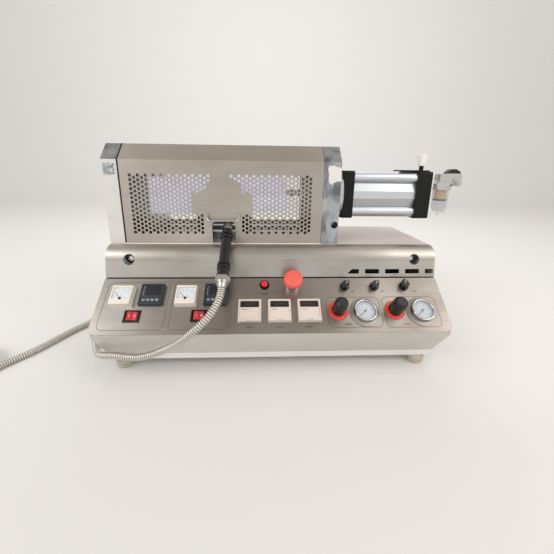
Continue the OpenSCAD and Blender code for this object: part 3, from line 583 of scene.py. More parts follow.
def piece(name, mesh, matrix, finish, body="machine", smooth=False):
    """Puts a mesh, or a bmesh, in its place as a piece of the machine."""
    if isinstance(mesh, bmesh.types.BMesh):
        mesh = as_mesh(name, mesh)
    mesh.transform(matrix)
    if finish:
        mesh.materials.clear()
        mesh.materials.append(finish)
    for face in mesh.polygons:
        face.use_smooth = smooth
    made = new_object(name, mesh)
    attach(made, body)
    return made


print("pieces take their slots from the record, such as", BLACK)

# %% [markdown]
# Windows, keys, rings and labels are circles and rectangles with round corners. They could be
# drawn as curves. They are worked out as rows of points, so that a hole can have as many points
# as the outline round it.

# %% Outlines


def polar(radius, degrees):
    """A point of a circle round the origin."""
    angle = math.radians(degrees)
    return radius * math.cos(angle), radius * math.sin(angle)


def circle(radius, steps):
    """Outline of a circle."""
    return [polar(radius, 360 * i / steps) for i in range(steps)]


def rounded(width, length, radius, steps=8, x=0, y=0):
    """Outline of a rectangle with round corners."""
    points = []
    for corner, (sx, sy) in enumerate(((1, 1), (-1, 1), (-1, -1), (1, -1))):
        for i in range(steps + 1):
            dx, dy = polar(radius, 90 * (corner + i / steps))
            points.append((x + sx * (width / 2 - radius) + dx, y + sy * (length / 2 - radius) + dy))
    return points


print("rounded outline has", len(rounded(10, 10, 2)), "points")

# %% [markdown]
# Most small parts are turned on a lathe, stamped from sheet or moulded flat. Ready-made cylinders
# and cubes would need cutting and joining, so three builders follow the way the parts are made:
# one lays a sheet through rows of points, one turns a profile, and one gives an outline its
# thickness. Two more move a shape and join several.

# %% Sheets, turned parts and plates


def sheet_through(rows):
    """Sheet through rows of points that all have as many points."""
    mesh = bmesh.new()
    rows = [[mesh.verts.new(point) for point in row] for row in rows]
    for low, high in zip(rows, rows[1:]):
        for i in range(len(low) - 1):
            mesh.faces.new((low[i], low[i + 1], high[i + 1], high[i]))
    return mesh


def lathe(profile, steps=48, closed=False):
    """Turns a profile of (radius, height) points round Z. Ends on the axis close by themselves."""
    mesh = bmesh.new()
    rings = []
    for radius, height in profile:
        if radius:
            rings.append([mesh.verts.new((x, y, height)) for x, y in circle(radius, steps)])
        else:
            rings.append([mesh.verts.new((0, 0, height))] * steps)
    pairs = list(zip(rings, rings[1:]))
    if closed:
        pairs.append((rings[-1], rings[0]))
    for low, high in pairs:
        for i in range(steps):
            j = (i + 1) % steps
            corners = list(dict.fromkeys((low[i], low[j], high[j], high[i])))
            if len(corners) > 2:
                mesh.faces.new(corners)
    bmesh.ops.recalc_face_normals(mesh, faces=mesh.faces)
    return mesh


def plate(outline, thick, hole=()):
    """Flat plate from an outline, or a band between an outline and a hole with as many points."""
    mesh = bmesh.new()
    low, high = [
        [[mesh.verts.new((x, y, height)) for x, y in loop] for loop in (outline, hole)]
        for height in (0, thick)
    ]
    for i in range(len(outline)):
        j = (i + 1) % len(outline)
        mesh.faces.new((low[0][i], low[0][j], high[0][j], high[0][i]))
        if hole:
            mesh.faces.new((low[1][j], low[1][i], high[1][i], high[1][j]))
            for level in (low, high):
                mesh.faces.new((level[0][i], level[0][j], level[1][j], level[1][i]))
    if not hole:
        mesh.faces.new(low[0][::-1])
        mesh.faces.new(high[0])
    bmesh.ops.recalc_face_normals(mesh, faces=mesh.faces)
    return mesh


def moved(mesh, x, y):
    """Moves a bmesh in its own plane."""
    mesh.transform(Matrix.Translation((x, y, 0)))
    return mesh


def join(*meshes):
    """One bmesh of several."""
    whole = bmesh.new()
    for part in meshes:
        loose = as_mesh("loose", part)
        whole.from_mesh(loose)
        bpy.data.meshes.remove(loose)
    return whole


print("a plate with round corners has", len(plate(rounded(10, 10, 2), 1).faces), "faces")

# %% [markdown]
# Geometry Nodes suit what repeats or follows a path. A tree could be drawn in the editor. In a
# script its sizes are named inputs, and one tree serves many pieces. Its result is turned into a
# plain mesh, so that each piece can be measured and exported as it is.

# %% Growing a mesh from a tree


def node_tree(name, inputs):
    """Starts a geometry tree. inputs maps a socket's name to its type. Returns the tree, its
    given values, its end and the sockets' identifiers."""
    tree = bpy.data.node_groups.new(name, "GeometryNodeTree")
    ids = {}
    for label, kind in inputs.items():
        made = tree.interface.new_socket(label, in_out="INPUT", socket_type=f"NodeSocket{kind}")
        ids[label] = made.identifier
    tree.interface.new_socket("Geometry", in_out="OUTPUT", socket_type="NodeSocketGeometry")
    start = add(tree, "NodeGroupInput")
    end = add(tree, "NodeGroupOutput")
    return tree, start.outputs, end, ids


def finished(tree, end, geometry, finish):
    """Ends a tree: instances become real, and the finish is set."""
    real = add(tree, "GeometryNodeRealizeInstances", {"Geometry": geometry})
    coated = add(tree, "GeometryNodeSetMaterial", {"Geometry": real.outputs[0], "Material": finish})
    tree.links.new(coated.outputs[0], end.inputs[0])


def plain_mesh(base):
    """The mesh that an object's modifiers or text come to. The object is removed."""
    seen = bpy.context.evaluated_depsgraph_get()
    seen.update()
    mesh = bpy.data.meshes.new_from_object(base.evaluated_get(seen))
    base.modifiers.clear()
    bpy.data.objects.remove(base)
    return mesh


def grown(name, data, tree, ids, values):
    """Runs a tree on a mesh or a curve and returns the plain mesh."""
    base = new_object(name, data)
    modifier = base.modifiers.new(tree.name, "NODES")
    modifier.node_group = tree
    for label, value in values.items():
        modifier[ids[label]] = value
    mesh = plain_mesh(base)
    mesh.name = name
    return mesh


print("node trees so far", len(bpy.data.node_groups))

# %% [markdown]
# The two hoses are stripwound: a steel strip is folded and wound into a tube, so its surface is
# a row of flat turns 4.7 mm apart with a groove between them. Rings threaded on a path would
# leave gaps in the bends. The tree samples the path finely, and lets the tube's radius fall at
# each groove, so the hose is one skin.

# %% Ribbed hose tree
HOSE_SIZES = {"Radius": "Float", "Turn": "Float", "Groove": "Float"}
HOSE_INPUTS = {"Path": "Geometry", **HOSE_SIZES, "Finish": "Material"}
hose_tree, given, end, HOSE_IDS = node_tree("stripwound hose", HOSE_INPUTS)
SAMPLES_PER_TURN = 6
step = math_node(hose_tree, "DIVIDE", given["Turn"], SAMPLES_PER_TURN)
sampled = add(
    hose_tree, "GeometryNodeResampleCurve", {"Curve": given["Path"], "Length": step}, mode="LENGTH"
)
along = add(hose_tree, "GeometryNodeSplineParameter").outputs["Length"]
turn = math_node(hose_tree, "FRACT", math_node(hose_tree, "DIVIDE", along, given["Turn"]))
valley = math_node(hose_tree, "ABSOLUTE", math_node(hose_tree, "MULTIPLY_ADD", turn, 2.0, -1.0))
sunk = math_node(hose_tree, "MULTIPLY", math_node(hose_tree, "POWER", valley, 3.0), given["Groove"])
radius = math_node(hose_tree, "SUBTRACT", given["Radius"], sunk)
ring = add(hose_tree, "GeometryNodeCurvePrimitiveCircle", {"Resolution": 14, "Radius": 1.0})
# the depth that is stored for the finish, which paints shade into the grooves with it
sunken = math_node(hose_tree, "POWER", valley, 2.5)
shade = add(
    hose_tree,
    "GeometryNodeStoreNamedAttribute",
    {"Geometry": sampled.outputs[0], "Name": "groove", "Value": sunken},
    data_type="FLOAT",
    domain="POINT",
)
sockets = {"Curve": shade.outputs[0], "Profile Curve": ring.outputs[0], "Scale": radius}
tube = add(hose_tree, "GeometryNodeCurveToMesh", {**sockets, "Fill Caps": True})
shaded = add(hose_tree, "GeometryNodeSetShadeSmooth", {"Geometry": tube.outputs[0]})
finished(hose_tree, end, shaded.outputs[0], given["Finish"])
print("hose tree has", len(hose_tree.nodes), "nodes")

# %% [markdown]
# The hose of the heated barrel leaves the nut at the end of the handle, bends down to the left
# over the panel, hangs past the base's corner and turns back into a gland on the left wall. The
# supply lead leaves the second gland, drops to the bench and runs forward. They could be
# simulated as hanging cables, but armoured hose is stiff and keeps its bends. So points of its
# middle line say where each hose runs. They are the points that the solids follow.

# %% Routes
HOSE_D = 15
DROOP = math.radians(36)
HANDLE_X = 261
AXIS_Y = 239.5
AXIS_Z = 381
NUT_END = 272
GLAND_Y = (200, 292)
GLAND_Z = 62
GLAND_L = 26
ELBOW_L = 38


def on_handle(distance):
    """A point of the handle, in the drawing's millimetres."""
    y = AXIS_Y - distance * math.cos(DROOP)
    return (HANDLE_X, y, AXIS_Z - distance * math.sin(DROOP))


GUN_POINTS = [
    (259.9, -1.5, 205.6), (253.0, -17.5, 191.2), (240.7, -29.2, 176.2), (225.0, -35.0, 161.0),
    (208.3, -34.5, 145.8), (192.3, -29.0, 130.6), (177.4, -20.2, 116.0), (161.9, -10.2, 102.8),
    (144.9, -1.3, 90.8), (126.0, 4.7, 79.7), (105.1, 7.6, 71.6), (82.7, 8.9, 68.2),
    (60.2, 11.6, 68.9), (38.0, 16.4, 68.8), (17.1, 23.4, 63.8), (-0.8, 35.5, 57.1),
    (-15.1, 52.6, 53.2), (-27.9, 71.1, 55.2), (-38.0, 90.8, 60.2), (-42.4, 112.7, 63.2),
    (-41.3, 135.4, 62.9), (-38.5, 157.9, 62.1),
]  # fmt: skip
LEAD_POINTS = [
    (-44, 292, 60), (-62, 291, 55), (-82, 289, 45), (-102, 285, 33), (-122, 278, 22),
    (-140, 268, 14), (-156, 253, 9.5), (-169, 233, 8), (-179, 209, 8), (-188, 184, 8),
    (-197, 158, 8), (-207, 133, 8), (-220, 109, 8), (-233.5, 88, 8), (-243.2, 69.2, 8),
]  # fmt: skip
gun_route = [on_handle(NUT_END - 8), on_handle(NUT_END + 4), *GUN_POINTS]
gun_route += [(-ELBOW_L, GLAND_Y[0] - 22, GLAND_Z), (-ELBOW_L, GLAND_Y[0] - 10, GLAND_Z)]
print("points on the gun's route", len(gun_route))

# %% [markdown]
# The length of the lead that isn't seen lies in a round coil beside the machine, as for storage,
# with its connector on top. Angle, radius and height are worked out for each point, which is
# surer than placing points by hand: the upper turn rests in the valley between the lower ones.

# %% Coil of the lead
COIL_MIDDLE = (-344, 46)
COIL_LOW = HOSE_D / 2
COIL_HIGH = COIL_LOW + HOSE_D
COIL_START = -12
COIL_END = -884
COIL_STEP = 15
CONNECTOR_Z = 40
# angle in degrees, radius and height of the coil's line: a low turn outside, part of a low turn
# inside, then a turn that lies on both
COIL_STAGES = [
    (8, 91, COIL_LOW), (-240, 91, COIL_LOW), (-352, 75.5, COIL_LOW), (-500, 75.5, COIL_LOW),
    (-600, 83, COIL_HIGH), (-770, 83, COIL_HIGH), (-890, 83, CONNECTOR_Z),
]  # fmt: skip


def coil_point(angle):
    """A point of the coil. The angle falls as the hose runs clockwise."""
    for (a, r, z), (b, s, w) in zip(COIL_STAGES, COIL_STAGES[1:]):
        if angle >= b:
            share = (a - angle) / (a - b)
            share = share * share * (3 - 2 * share)
            radius, height = r + (s - r) * share, z + (w - z) * share
            break
    x, y = polar(radius, angle)
    return (COIL_MIDDLE[0] + x, COIL_MIDDLE[1] + y, height)


lead_route = [(-4, GLAND_Y[1], GLAND_Z), (-GLAND_L, GLAND_Y[1], GLAND_Z), *LEAD_POINTS]
lead_route += [coil_point(angle) for angle in range(COIL_START, COIL_END, -COIL_STEP)]
lead_route += [(-424.5, 21, CONNECTOR_Z), (-426.5, 32, CONNECTOR_Z)]
print("points on the lead's route", len(lead_route))

# %% [markdown]
# Points a few centimetres apart would give a hose with corners. A smooth line runs through them,
# and each of its points is then evened out with its neighbours a few times, as stiff hose evens
# out its own bends. The line's length is measured, because a hose has one real length.

# %% Smooth lines
PIECES = 6
PASSES = 4


def smooth_line(points):
    """Passes a smooth line through points and returns it as many points, in metres."""
    line = []
    for i in range(len(points) - 1):
        before = Vector(points[max(i - 1, 0)])
        a, b = Vector(points[i]), Vector(points[i + 1])
        after = Vector(points[min(i + 2, len(points) - 1)])
        bend = 2 * before - 5 * a + 4 * b - after
        twist = 3 * a - before - 3 * b + after
        for k in range(PIECES):
            t = k / PIECES
            line.append(0.5 * (2 * a + (b - before) * t + bend * t**2 + twist * t**3))
    line.append(Vector(points[-1]))
    for _ in range(PASSES):
        inner = [
            before / 4 + point / 2 + after / 4 for before, point, after in zip(line, line[1:], line[2:])
        ]
        line = [line[0], *inner, line[-1]]
    return [at(*point) for point in line]


def path_length(path):
    """Length of a row of points."""
    return sum((b - a).length for a, b in zip(path, path[1:]))


print("gun's line is", round(path_length(smooth_line(gun_route)), 3), "m long")

# %% [markdown]
# The tree turns each line into a ribbed mesh, which takes the place of the solids' plain tube. A
# plain tube with a relief would be lighter, but its outline would be smooth, and it is the
# outline that shows the turns.

# %% The two hoses
HOSE_TURN = 0.0047
HOSE_GROOVE = 0.0017


def round_bar(name, path, radius, turn, groove, finish):
    """Mesh of a round bar along a path, with a groove at each turn. All in metres."""
    curve = bpy.data.curves.new(name, "CURVE")
    curve.dimensions = "3D"
    spline = curve.splines.new("POLY")
    spline.points.add(len(path) - 1)
    for point, place in zip(spline.points, path):
        point.co = (*place, 1)
    values = {"Radius": radius, "Turn": turn, "Groove": groove, "Finish": finish}
    return grown(name, curve, hose_tree, HOSE_IDS, values)


def hose(name, route, node):
    """A stripwound hose that replaces its plain solid."""
    path = smooth_line(route)
    mesh = round_bar(name, path, HOSE_D / 2 * MILLI, HOSE_TURN, HOSE_GROOVE, hose_steel)
    made = piece(name, mesh, UNTURNED, None, smooth=True)
    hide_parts(*node)
    print(name, round(path_length(path), 3), "m,", len(mesh.polygons), "faces")
    return made, path


gun_hose, gun_path = hose("gun_hose", gun_route, ["gun_conduit"])
lead_hose, lead_path = hose("lead_hose", lead_route, ["lead_conduit", "lead_coil"])

# %% [markdown]
# A coupling grips each hose where it leaves the machine. Its skirt tapers onto the hose, so that
# the hose can't kink at the edge. A plain cone would do from afar. A turned profile also gives
# the collar and the bore, and it is laid along the hose's direction.

# %% Hose couplings


def skirt(name, start, toward, length, finish):
    """Tapered skirt round a hose. start is a point of the drawing, toward the hose's direction."""
    profile = [(7.7, 0), (10.6, 0), (10.6, 3), (9.9, 4), (8.4, length - 1), (8, length), (7.7, length)]
    turn = Vector(toward).to_track_quat("Z", "Y").to_matrix().to_4x4()
    skirt_mesh = lathe(profile, closed=True)
    piece(name, skirt_mesh, on_machine(*start, turn), finish, smooth=True)


ALONG_HANDLE = (0, -math.cos(DROOP), -math.sin(DROOP))
skirt("barrel_hose_skirt", on_handle(NUT_END - 2), ALONG_HANDLE, 11, nickel)
skirt("elbow_hose_skirt", (-ELBOW_L, GLAND_Y[0] - 22, GLAND_Z), (0, -1, 0), 22, nickel)
skirt("lead_hose_skirt", (-GLAND_L + 2, GLAND_Y[1], GLAND_Z), (-1, 0, -0.06), 26, nickel)
skirt("connector_skirt", (-426.4, 27, CONNECTOR_Z), (0.12, -1, 0), 20, ground_steel)
print("skirts", 4)

# %% [markdown]
# Two nylon ties hold the coil. Each is a band round the three hoses that lie together there. A
# plain ring would stand off them, so the outline follows the bundle and is flat on the bench.

# %% Coil ties
TIE_ANGLES = (-38, -104)
TIE_W = 5
TIE_T = 0.9
ARC = 120
# middle of each hose in the bundle, as radius and height, and where the tie's arc round it starts
BUNDLE = [(91, COIL_LOW, -90), (83, COIL_HIGH, 30), (75.5, COIL_LOW, 150)]


def bundle_outline(grow):
    """Outline of a band round the bundle, flattened where it lies on the bench."""
    points = []
    reach = HOSE_D / 2 + grow
    for radius, height, first in BUNDLE:
        for degrees in range(first, first + ARC + 1, 10):
            x, z = polar(reach, degrees)
            points.append((radius + x, max(height + z, TIE_T - grow)))
    return points


for index, degrees in enumerate(TIE_ANGLES):
    band = plate(bundle_outline(TIE_T), TIE_W, bundle_outline(0))
    place = on_machine(*COIL_MIDDLE, 0, spun(degrees, "Z") @ spun(90, "X"))
    piece(f"coil_tie_{index + 1}", band, place, white_nylon)
print("ties", len(TIE_ANGLES))

# %% [markdown]
# Ticks, keys, screws and legends repeat. One Geometry Nodes tree serves them all: it lays the
# given item at count places, and each place is one more step and one more turn from the first.
# A loop could copy the item, but with the tree a row is one mesh with one rule.

# %% Repeating tree
PLACING = {"Count": "Int", "Step": "Vector", "First": "Float", "Turn": "Float"}
REPEAT_INPUTS = {"Item": "Geometry", **PLACING, "Finish": "Material"}
repeat_tree, given, end, REPEAT_IDS = node_tree("row or ring of an item", REPEAT_INPUTS)
places = add(
    repeat_tree,
    "GeometryNodeMeshLine",
    {"Count": given["Count"], "Offset": given["Step"], "Start Location": (0, 0, 0)},
)
number = add(repeat_tree, "GeometryNodeInputIndex").outputs[0]
angle = math_node(repeat_tree, "MULTIPLY_ADD", number, given["Turn"], given["First"])
spin = add(repeat_tree, "ShaderNodeCombineXYZ", {"Z": angle}).outputs[0]
laid = add(
    repeat_tree,
    "GeometryNodeInstanceOnPoints",
    {"Points": places.outputs[0], "Instance": given["Item"], "Rotation": spin},
)
finished(repeat_tree, end, laid.outputs[0], given["Finish"])


def repeated(item, finish, count, step=(0, 0, 0), first=0.0, turn=0.0):
    """Repeats a bmesh in a row or a ring and returns the plain mesh. Angles are in degrees."""
    values = {"Count": count, "Step": step, "Finish": finish}
    values["First"] = math.radians(first)
    values["Turn"] = math.radians(turn)
    return grown("row", as_mesh("item", item), repeat_tree, REPEAT_IDS, values)


def block(width, length, height, x=0, y=0, edge=0.0):
    """Block with its middle at x, y, and its upright edges rounded."""
    return plate(rounded(width, length, max(edge, 0.02), 3 if edge else 1, x, y), height)


def ring_band(outer, inner, height, steps):
    """Flat ring."""
    return plate(circle(outer, steps), height, circle(inner, steps))


print("repeat tree has", len(repeat_tree.nodes), "nodes")

# %% [markdown]
# The cylinder's tube has flat flanks beside its middle band, tilted so that the upper one
# catches the light and the lower one is in shade. They could be cut in the tube, but they are
# thin and only the light shows them. Each is a long prism, and a ring of four pairs goes round
# the tube.

# %% Flanks of the tube
TUBE_X = (556, 709)
FLANK = [(50.05, 8), (44.2, 27.2), (42.5, 27.2), (42.5, 8)]
length = TUBE_X[1] - TUBE_X[0]
pair = join(plate(FLANK, length), plate([(x, -y) for x, y in FLANK], length))
tube_flanks = repeated(pair, extrusion, 4, turn=90)
place = on_machine(TUBE_X[0], AXIS_Y, AXIS_Z, spun(90, "Y"))
piece("tube_flanks", tube_flanks, place, None)
print("flanks", 8)

# %% [markdown]
# Ink, dial card and display glass are thin things on the instruments. Card is matt and a little
# blue under its window, ink is flat black, and the glass of a display that is off is nearly black
# with a sharp reflection. They could have trees of their own, but colour and gloss are all that
# sets them apart, so the function of the plastics makes them.

# %% Ink, card and glass
ink = dull_coat("printed black ink", "#1d1c1e", "#2b292b", 0.6)
faint_ink = dull_coat("rubbed grey ink", "#55504a", "#6b655d", 0.6)
pale_ink = dull_coat("printed white ink", "#dfe4e8", "#c9ced2", 0.5)
etched = dull_coat("etched line in stainless", "#6d675f", "#7d776e", 0.5, Metallic=0.6)
dial_card = dull_coat("printed dial card", "#f1f5fa", "#e3e9f1", 0.5)
gauge_card = dull_coat("printed blue-white gauge card", "#d6dce4", "#cad1da", 0.5)
lcd_black = dull_coat("dark display glass", "#181c22", "#20252c", 0.3, 900, 0.0)
smoked = dull_coat("smoked brown window", "#241618", "#301f22", 0.28, 900, 0.0)
key_grey = dull_coat("moulded grey key", "#9aa4ad", "#87919a", 0.35)
led_white = dull_coat("milky lamp lens", "#d5dde2", "#c2cad0", 0.3)
print("materials so far", len(bpy.data.materials))

# %% [markdown]
# Instruments of one kind are alike. Each could be modelled and copied, but a table that lists the
# pieces of one is shorter, and the same pieces then go on every place of that kind. Figures come
# from Blender's own font, and they are thin solids, as ink can't be a picture here.

# %% Dressing the panel


def dress(kind, places, rows, smooth=False):
    """Makes each row's piece on each of several panel places, given as (x, up). A row is a name,
    how the piece is made, its finish, its place across, up and out from there, and its slot, which
    is not used. A repeated item has its finish already."""
    for name, make, finish, (across, along, out), slot in rows:
        for index, (x, up) in enumerate(places):
            place = on_panel(x + across, up + along, out)
            piece(f"{kind}_{name}_{index + 1}", make(), place, finish, smooth=smooth)


def written(text, size):
    """Digits as a flat mesh in millimetres, centred."""
    curve = bpy.data.curves.new("digits", "FONT")
    curve.body = text
    curve.size = size
    curve.align_x = "CENTER"
    curve.align_y = "CENTER"
    curve.extrude = 0.04
    curve.resolution_u = 3
    mesh = plain_mesh(new_object("digits", curve))
    whole = bmesh.new()
    whole.from_mesh(mesh)
    bpy.data.meshes.remove(mesh)
    return whole


print("a figure has", len(written("0", 3).faces), "faces")

# %% [markdown]
# Each meter shows a white card behind its window, with a scale over an arc of 84 degrees, five
# figures and a black cap over the zero screw. The ticks could be placed one by one. They are a
# ring of bars about the needle's pivot, so that the needle points at them wherever it turns.

# %% Current meters
METERS = [(49.5, 80), (181, 80)]
PIVOT = (0, -8.2, 9.34)
# first angle and sweep, of the scale and of its figures
METER_ARC = (48, 84)
FIGURES_ARC = (52, 76)
METER_LABELS = ("20", "15", "10", "5", "0")
ZERO_CAP = [(0, 0), (2.9, 0), (2.9, 1.2), (2.3, 1.8), (0, 1.8)]


def dial_digits(labels, size, radius, first, sweep):
    """Figures along an arc, upright, from the first angle through the sweep."""
    parts = []
    for index, label in enumerate(labels):
        place = polar(radius, first + sweep * index / (len(labels) - 1))
        parts.append(moved(written(label, size), *place))
    return join(*parts)


def scale_ticks(count, inner, outer, width, first, sweep):
    """Ticks of a dial between two radii."""
    tick = block(outer - inner, width, 0.05, (inner + outer) / 2)
    return repeated(tick, ink, count, first=first, turn=sweep / (count - 1))


dress("meter", METERS, [
    ("card", lambda: block(35.6, 24.6, 0.3, 0, 4, 1.5), dial_card, (0, 0, 9.02), WHITE),
    ("fine_scale", lambda: scale_ticks(21, 17.4, 19, 0.22, *METER_ARC), None, PIVOT, BLACK),
    ("main_scale", lambda: scale_ticks(5, 16.4, 19, 0.4, *METER_ARC), None, PIVOT, BLACK),
    ("figures", lambda: dial_digits(METER_LABELS, 3.1, 21.3, *FIGURES_ARC), ink, PIVOT, BLACK),
    ("unit", lambda: written("A", 4.2), ink, (0, 1.5, 9.36), BLACK),
])  # fmt: skip
screw = ("zero_screw", lambda: lathe(ZERO_CAP, 24), knob_black, (0, -8.4, 13.2), BLACK)
dress("meter", METERS, [screw], smooth=True)
print("meters", len(METERS))

# %% [markdown]
# A controller has a dark display, a column of small lamps on its left and four keys below. A
# timer has a smoked window over its figures and two small screws on its lower rim. Their faces
# could be one block each with colours on it. They are stacks of thin plates, because each layer
# of the real ones casts its own fine shadow.

# %% Controllers and timers
CONTROLLERS = [(109, 83.5), (241, 83.5)]
TIMERS = [(313.5, 46.5), (375, 46.5), (436.5, 46.5)]
TIMER_SCREW = [(0, 0), (0.9, 0), (0.9, 0.2), (0, 0.2)]
DIGITS = "0 0 0 0"
KEY_ROW = {"count": 4, "step": (9, 0, 0)}
dress("controller", CONTROLLERS, [
    ("display", lambda: block(30.4, 20.4, 0.5, 4, 8, 0.8), lcd_black, (0, 0, 9.4), BLACK),
    ("mask", lambda: block(39.6, 39.6, 0.2, edge=2), case_black, (0, 0, 8.95), BLACK),
    ("keys", lambda: repeated(block(6, 4.4, 1.1, edge=0.8), key_grey, **KEY_ROW),
     None, (-13, -14, 9.4), WHITE),
    ("key_marks", lambda: repeated(ring_band(0.8, 0.35, 0.05, 12), ink, **KEY_ROW),
     None, (-13, -14, 10.51), BLACK),
    ("lamps", lambda: repeated(block(1.6, 1.2, 0.4, edge=0.3), led_white, 5, (0, -4.4, 0)),
     None, (-16.4, 15.6, 9.1), WHITE),
    ("figures", lambda: join(moved(written(DIGITS, 6.4), 4, 12.4), moved(written(DIGITS, 4.6), 6.6, 3.4)),
     smoked, (0, 0, 9.93), BLACK),
])  # fmt: skip
dress("timer", TIMERS, [
    ("window", lambda: block(38, 13, 0.7, 0, 12.3, 0.8), smoked, (0, 0, 9), BLACK),
    ("lower_label", lambda: block(38.4, 23, 0.25, 0, -6.8, 0.8),
     case_cream, (0, 0, 9.5), "cream_plastic"),
    ("wheels", lambda: repeated(block(4.6, 7, 0.1, edge=0.5), lcd_black, 4, (6.4, 0, 0)),
     None, (-9.6, 12.4, 9.68), BLACK),
    ("figures", lambda: written(DIGITS, 5.6), faint_ink, (0, 12.4, 9.8), WHITE),
    ("signs", lambda: repeated(block(1.7, 1.3, 0.05), faint_ink, 5, (2.3, 0, 0)),
     None, (-14.5, 0.5, 9.76), BLACK),
    ("screws", lambda: repeated(lathe(TIMER_SCREW, 12), ink, 2, (6, 0, 0)),
     None, (-3, -22, 10), BLACK),
])  # fmt: skip
print("controllers", len(CONTROLLERS), "timers", len(TIMERS))

# %% [markdown]
# The gauges read over 260 degrees. Their cards are bluish white, and the polished bezel catches a
# bright ring of light. The scale could be one flat drawing, but the meters' function makes it as
# well, over another arc. The bezel is a turned ring.

# %% Pressure gauges
GAUGES = [(552.4, 43), (673.3, 43)]
GAUGE_ARC = (220, -260)
GAUGE_LABELS = ("0", "2", "4", "6", "8", "10")
FACE = (0, 0, 6.37)
CARD = [(0, 0), (19.8, 0), (19.8, 0.3), (0, 0.3)]
BEZEL = [(20, 0), (23.2, 0), (23.2, 0.6), (22, 1.5), (20.6, 1.3), (20, 0.4)]
dress("gauge", GAUGES, [
    ("card", lambda: lathe(CARD), gauge_card, (0, 0, 6.05), WHITE),
    ("fine_scale", lambda: scale_ticks(51, 16, 18, 0.25, *GAUGE_ARC), None, FACE, BLACK),
    ("main_scale", lambda: scale_ticks(6, 14.4, 18, 0.55, *GAUGE_ARC), None, FACE, BLACK),
    ("figures", lambda: dial_digits(GAUGE_LABELS, 3.6, 11.6, *GAUGE_ARC), ink, FACE, BLACK),
    ("flange_screws", lambda: repeated(block(4.4, 4.4, 1.2, 27, 0, 2.1), zinc, 3, first=90, turn=120),
     None, (0, 0, 1.4), "machined_steel"),
])  # fmt: skip
bezel = ("bezel", lambda: lathe(BEZEL, 64, closed=True), polished, (0, 0, 12.2), "bright_steel")
dress("gauge", GAUGES, [bezel], smooth=True)
print("gauges", len(GAUGES))

# %% [markdown]
# Lines etched into the panel frame four groups of instruments. Short rows of small signs name
# the controls, and they are drawn here as plain signs that say nothing. Both could be a mask in
# the panel's material, but thin plates keep an even width round the corners.

# %% Etched frames and legends
# left edge, right edge, lower edge and upper edge, along the panel and up its slope
FRAMES = [(13, 143, 9, 115), (152, 275, 9, 115), (474, 588, 10.5, 77.5), (594, 711, 9.5, 78)]
FRAME_R = 12
LINE_W = 1.1
for index, (x0, x1, low, high) in enumerate(FRAMES):
    width, length = x1 - x0, high - low
    inside = rounded(width - 2 * LINE_W, length - 2 * LINE_W, FRAME_R - LINE_W)
    line = plate(rounded(width, length, FRAME_R), 0.06, inside)
    place = on_panel((x0 + x1) / 2, (low + high) / 2, 0.01)
    piece(f"etched_frame_{index + 1}", line, place, etched)
# middle along the panel and up its slope, how many signs, and whether they are rubbed pale
LEGENDS = [
    (344, 86.1, 4, False), (313.5, 13, 4, False), (373.5, 13, 4, True), (434, 13.3, 4, False),
    (507, 91.7, 2, True), (536, 91.6, 2, False), (574.5, 91.4, 2, True), (602, 91.3, 2, True),
    (634.5, 91.1, 2, True), (673, 91, 3, True), (515, 17.2, 4, False), (637, 16.4, 4, True),
]  # fmt: skip
SIGN_STEP = 3.6
for index, (x, up, count, rubbed) in enumerate(LEGENDS):
    ring = plate(rounded(2.6, 3, 0.3, 1), 0.05, rounded(1.7, 2.1, 0.2, 1))
    sign = join(ring, block(2.6, 0.5, 0.05))
    row = repeated(sign, faint_ink if rubbed else ink, count, (SIGN_STEP, 0, 0))
    place = on_panel(x - SIGN_STEP * (count - 1) / 2, up, 0.02)
    piece(f"legend_{index + 1}", row, place, None)
print("frames", len(FRAMES), "legends", len(LEGENDS))

# %% [markdown]
# The switches carry their own marks, and these move with them: a stroke and a ring on each
# rocker, and a white line along the grip of each selector. A rocker's face is hollow, and level
# marks would float over it or sink into it. So they are tilted to lie on the circle that the
# hollow is cut with.

# %% Marks on the switches
ROCKERS = [(77.5, 38), (210.5, 38)]
SELECTORS = [(519, -45), (584.5, -45), (651, 0)]
SELECTOR_UP = 102
SELECTOR_OUT = 16.2
LEAN = math.radians(9)
HOLLOW_R = 14.4
HOLLOW_UP = 20
ROCKER_SUNK = 2.95


def rocker_top(x, up, across):
    """Matrix of a place on a rocker's hollow face, given its distance across the middle."""
    rise = HOLLOW_UP - math.sqrt(HOLLOW_R**2 - across**2)
    side = across * math.cos(LEAN) + rise * math.sin(LEAN)
    out = rise * math.cos(LEAN) - across * math.sin(LEAN) - ROCKER_SUNK
    slope = math.asin(across / HOLLOW_R) - LEAN
    return on_panel(x + side, up, out) @ Matrix.Rotation(-slope, 4, "Y")


for index, (x, up) in enumerate(ROCKERS):
    body = f"rocker_{index + 1}"
    marks = (("stroke", block(0.8, 4.6, 0.15), -5), ("ring", ring_band(2.3, 1.6, 0.15, 32), 5))
    for name, mark, across in marks:
        piece(f"{body}_{name}", mark, rocker_top(x, up, across), pale_ink, body)
for index, (x, turn) in enumerate(SELECTORS):
    body = f"selector_{index + 1}"
    place = on_panel(x, SELECTOR_UP, SELECTOR_OUT) @ spun(turn, "Z")
    piece(f"{body}_line", block(0.9, 8.5, 0.12, 0, 4.6), place, pale_ink, body)
print("marks on", len(ROCKERS) + len(SELECTORS), "switches")

# %% [markdown]
# Behind the guard's clear shield hangs a sheet of protective film. It has come loose along its
# lower right corner, where it rolls up. It is seen through the perforations as a pale lilac
# cloud, and a faint glow is painted into it, for light from behind that passes through it. A
# cloth simulation could shape it, but a formula gives the same waves at each run and keeps the
# sheet's real size: waves that fade towards the taped upper edge.

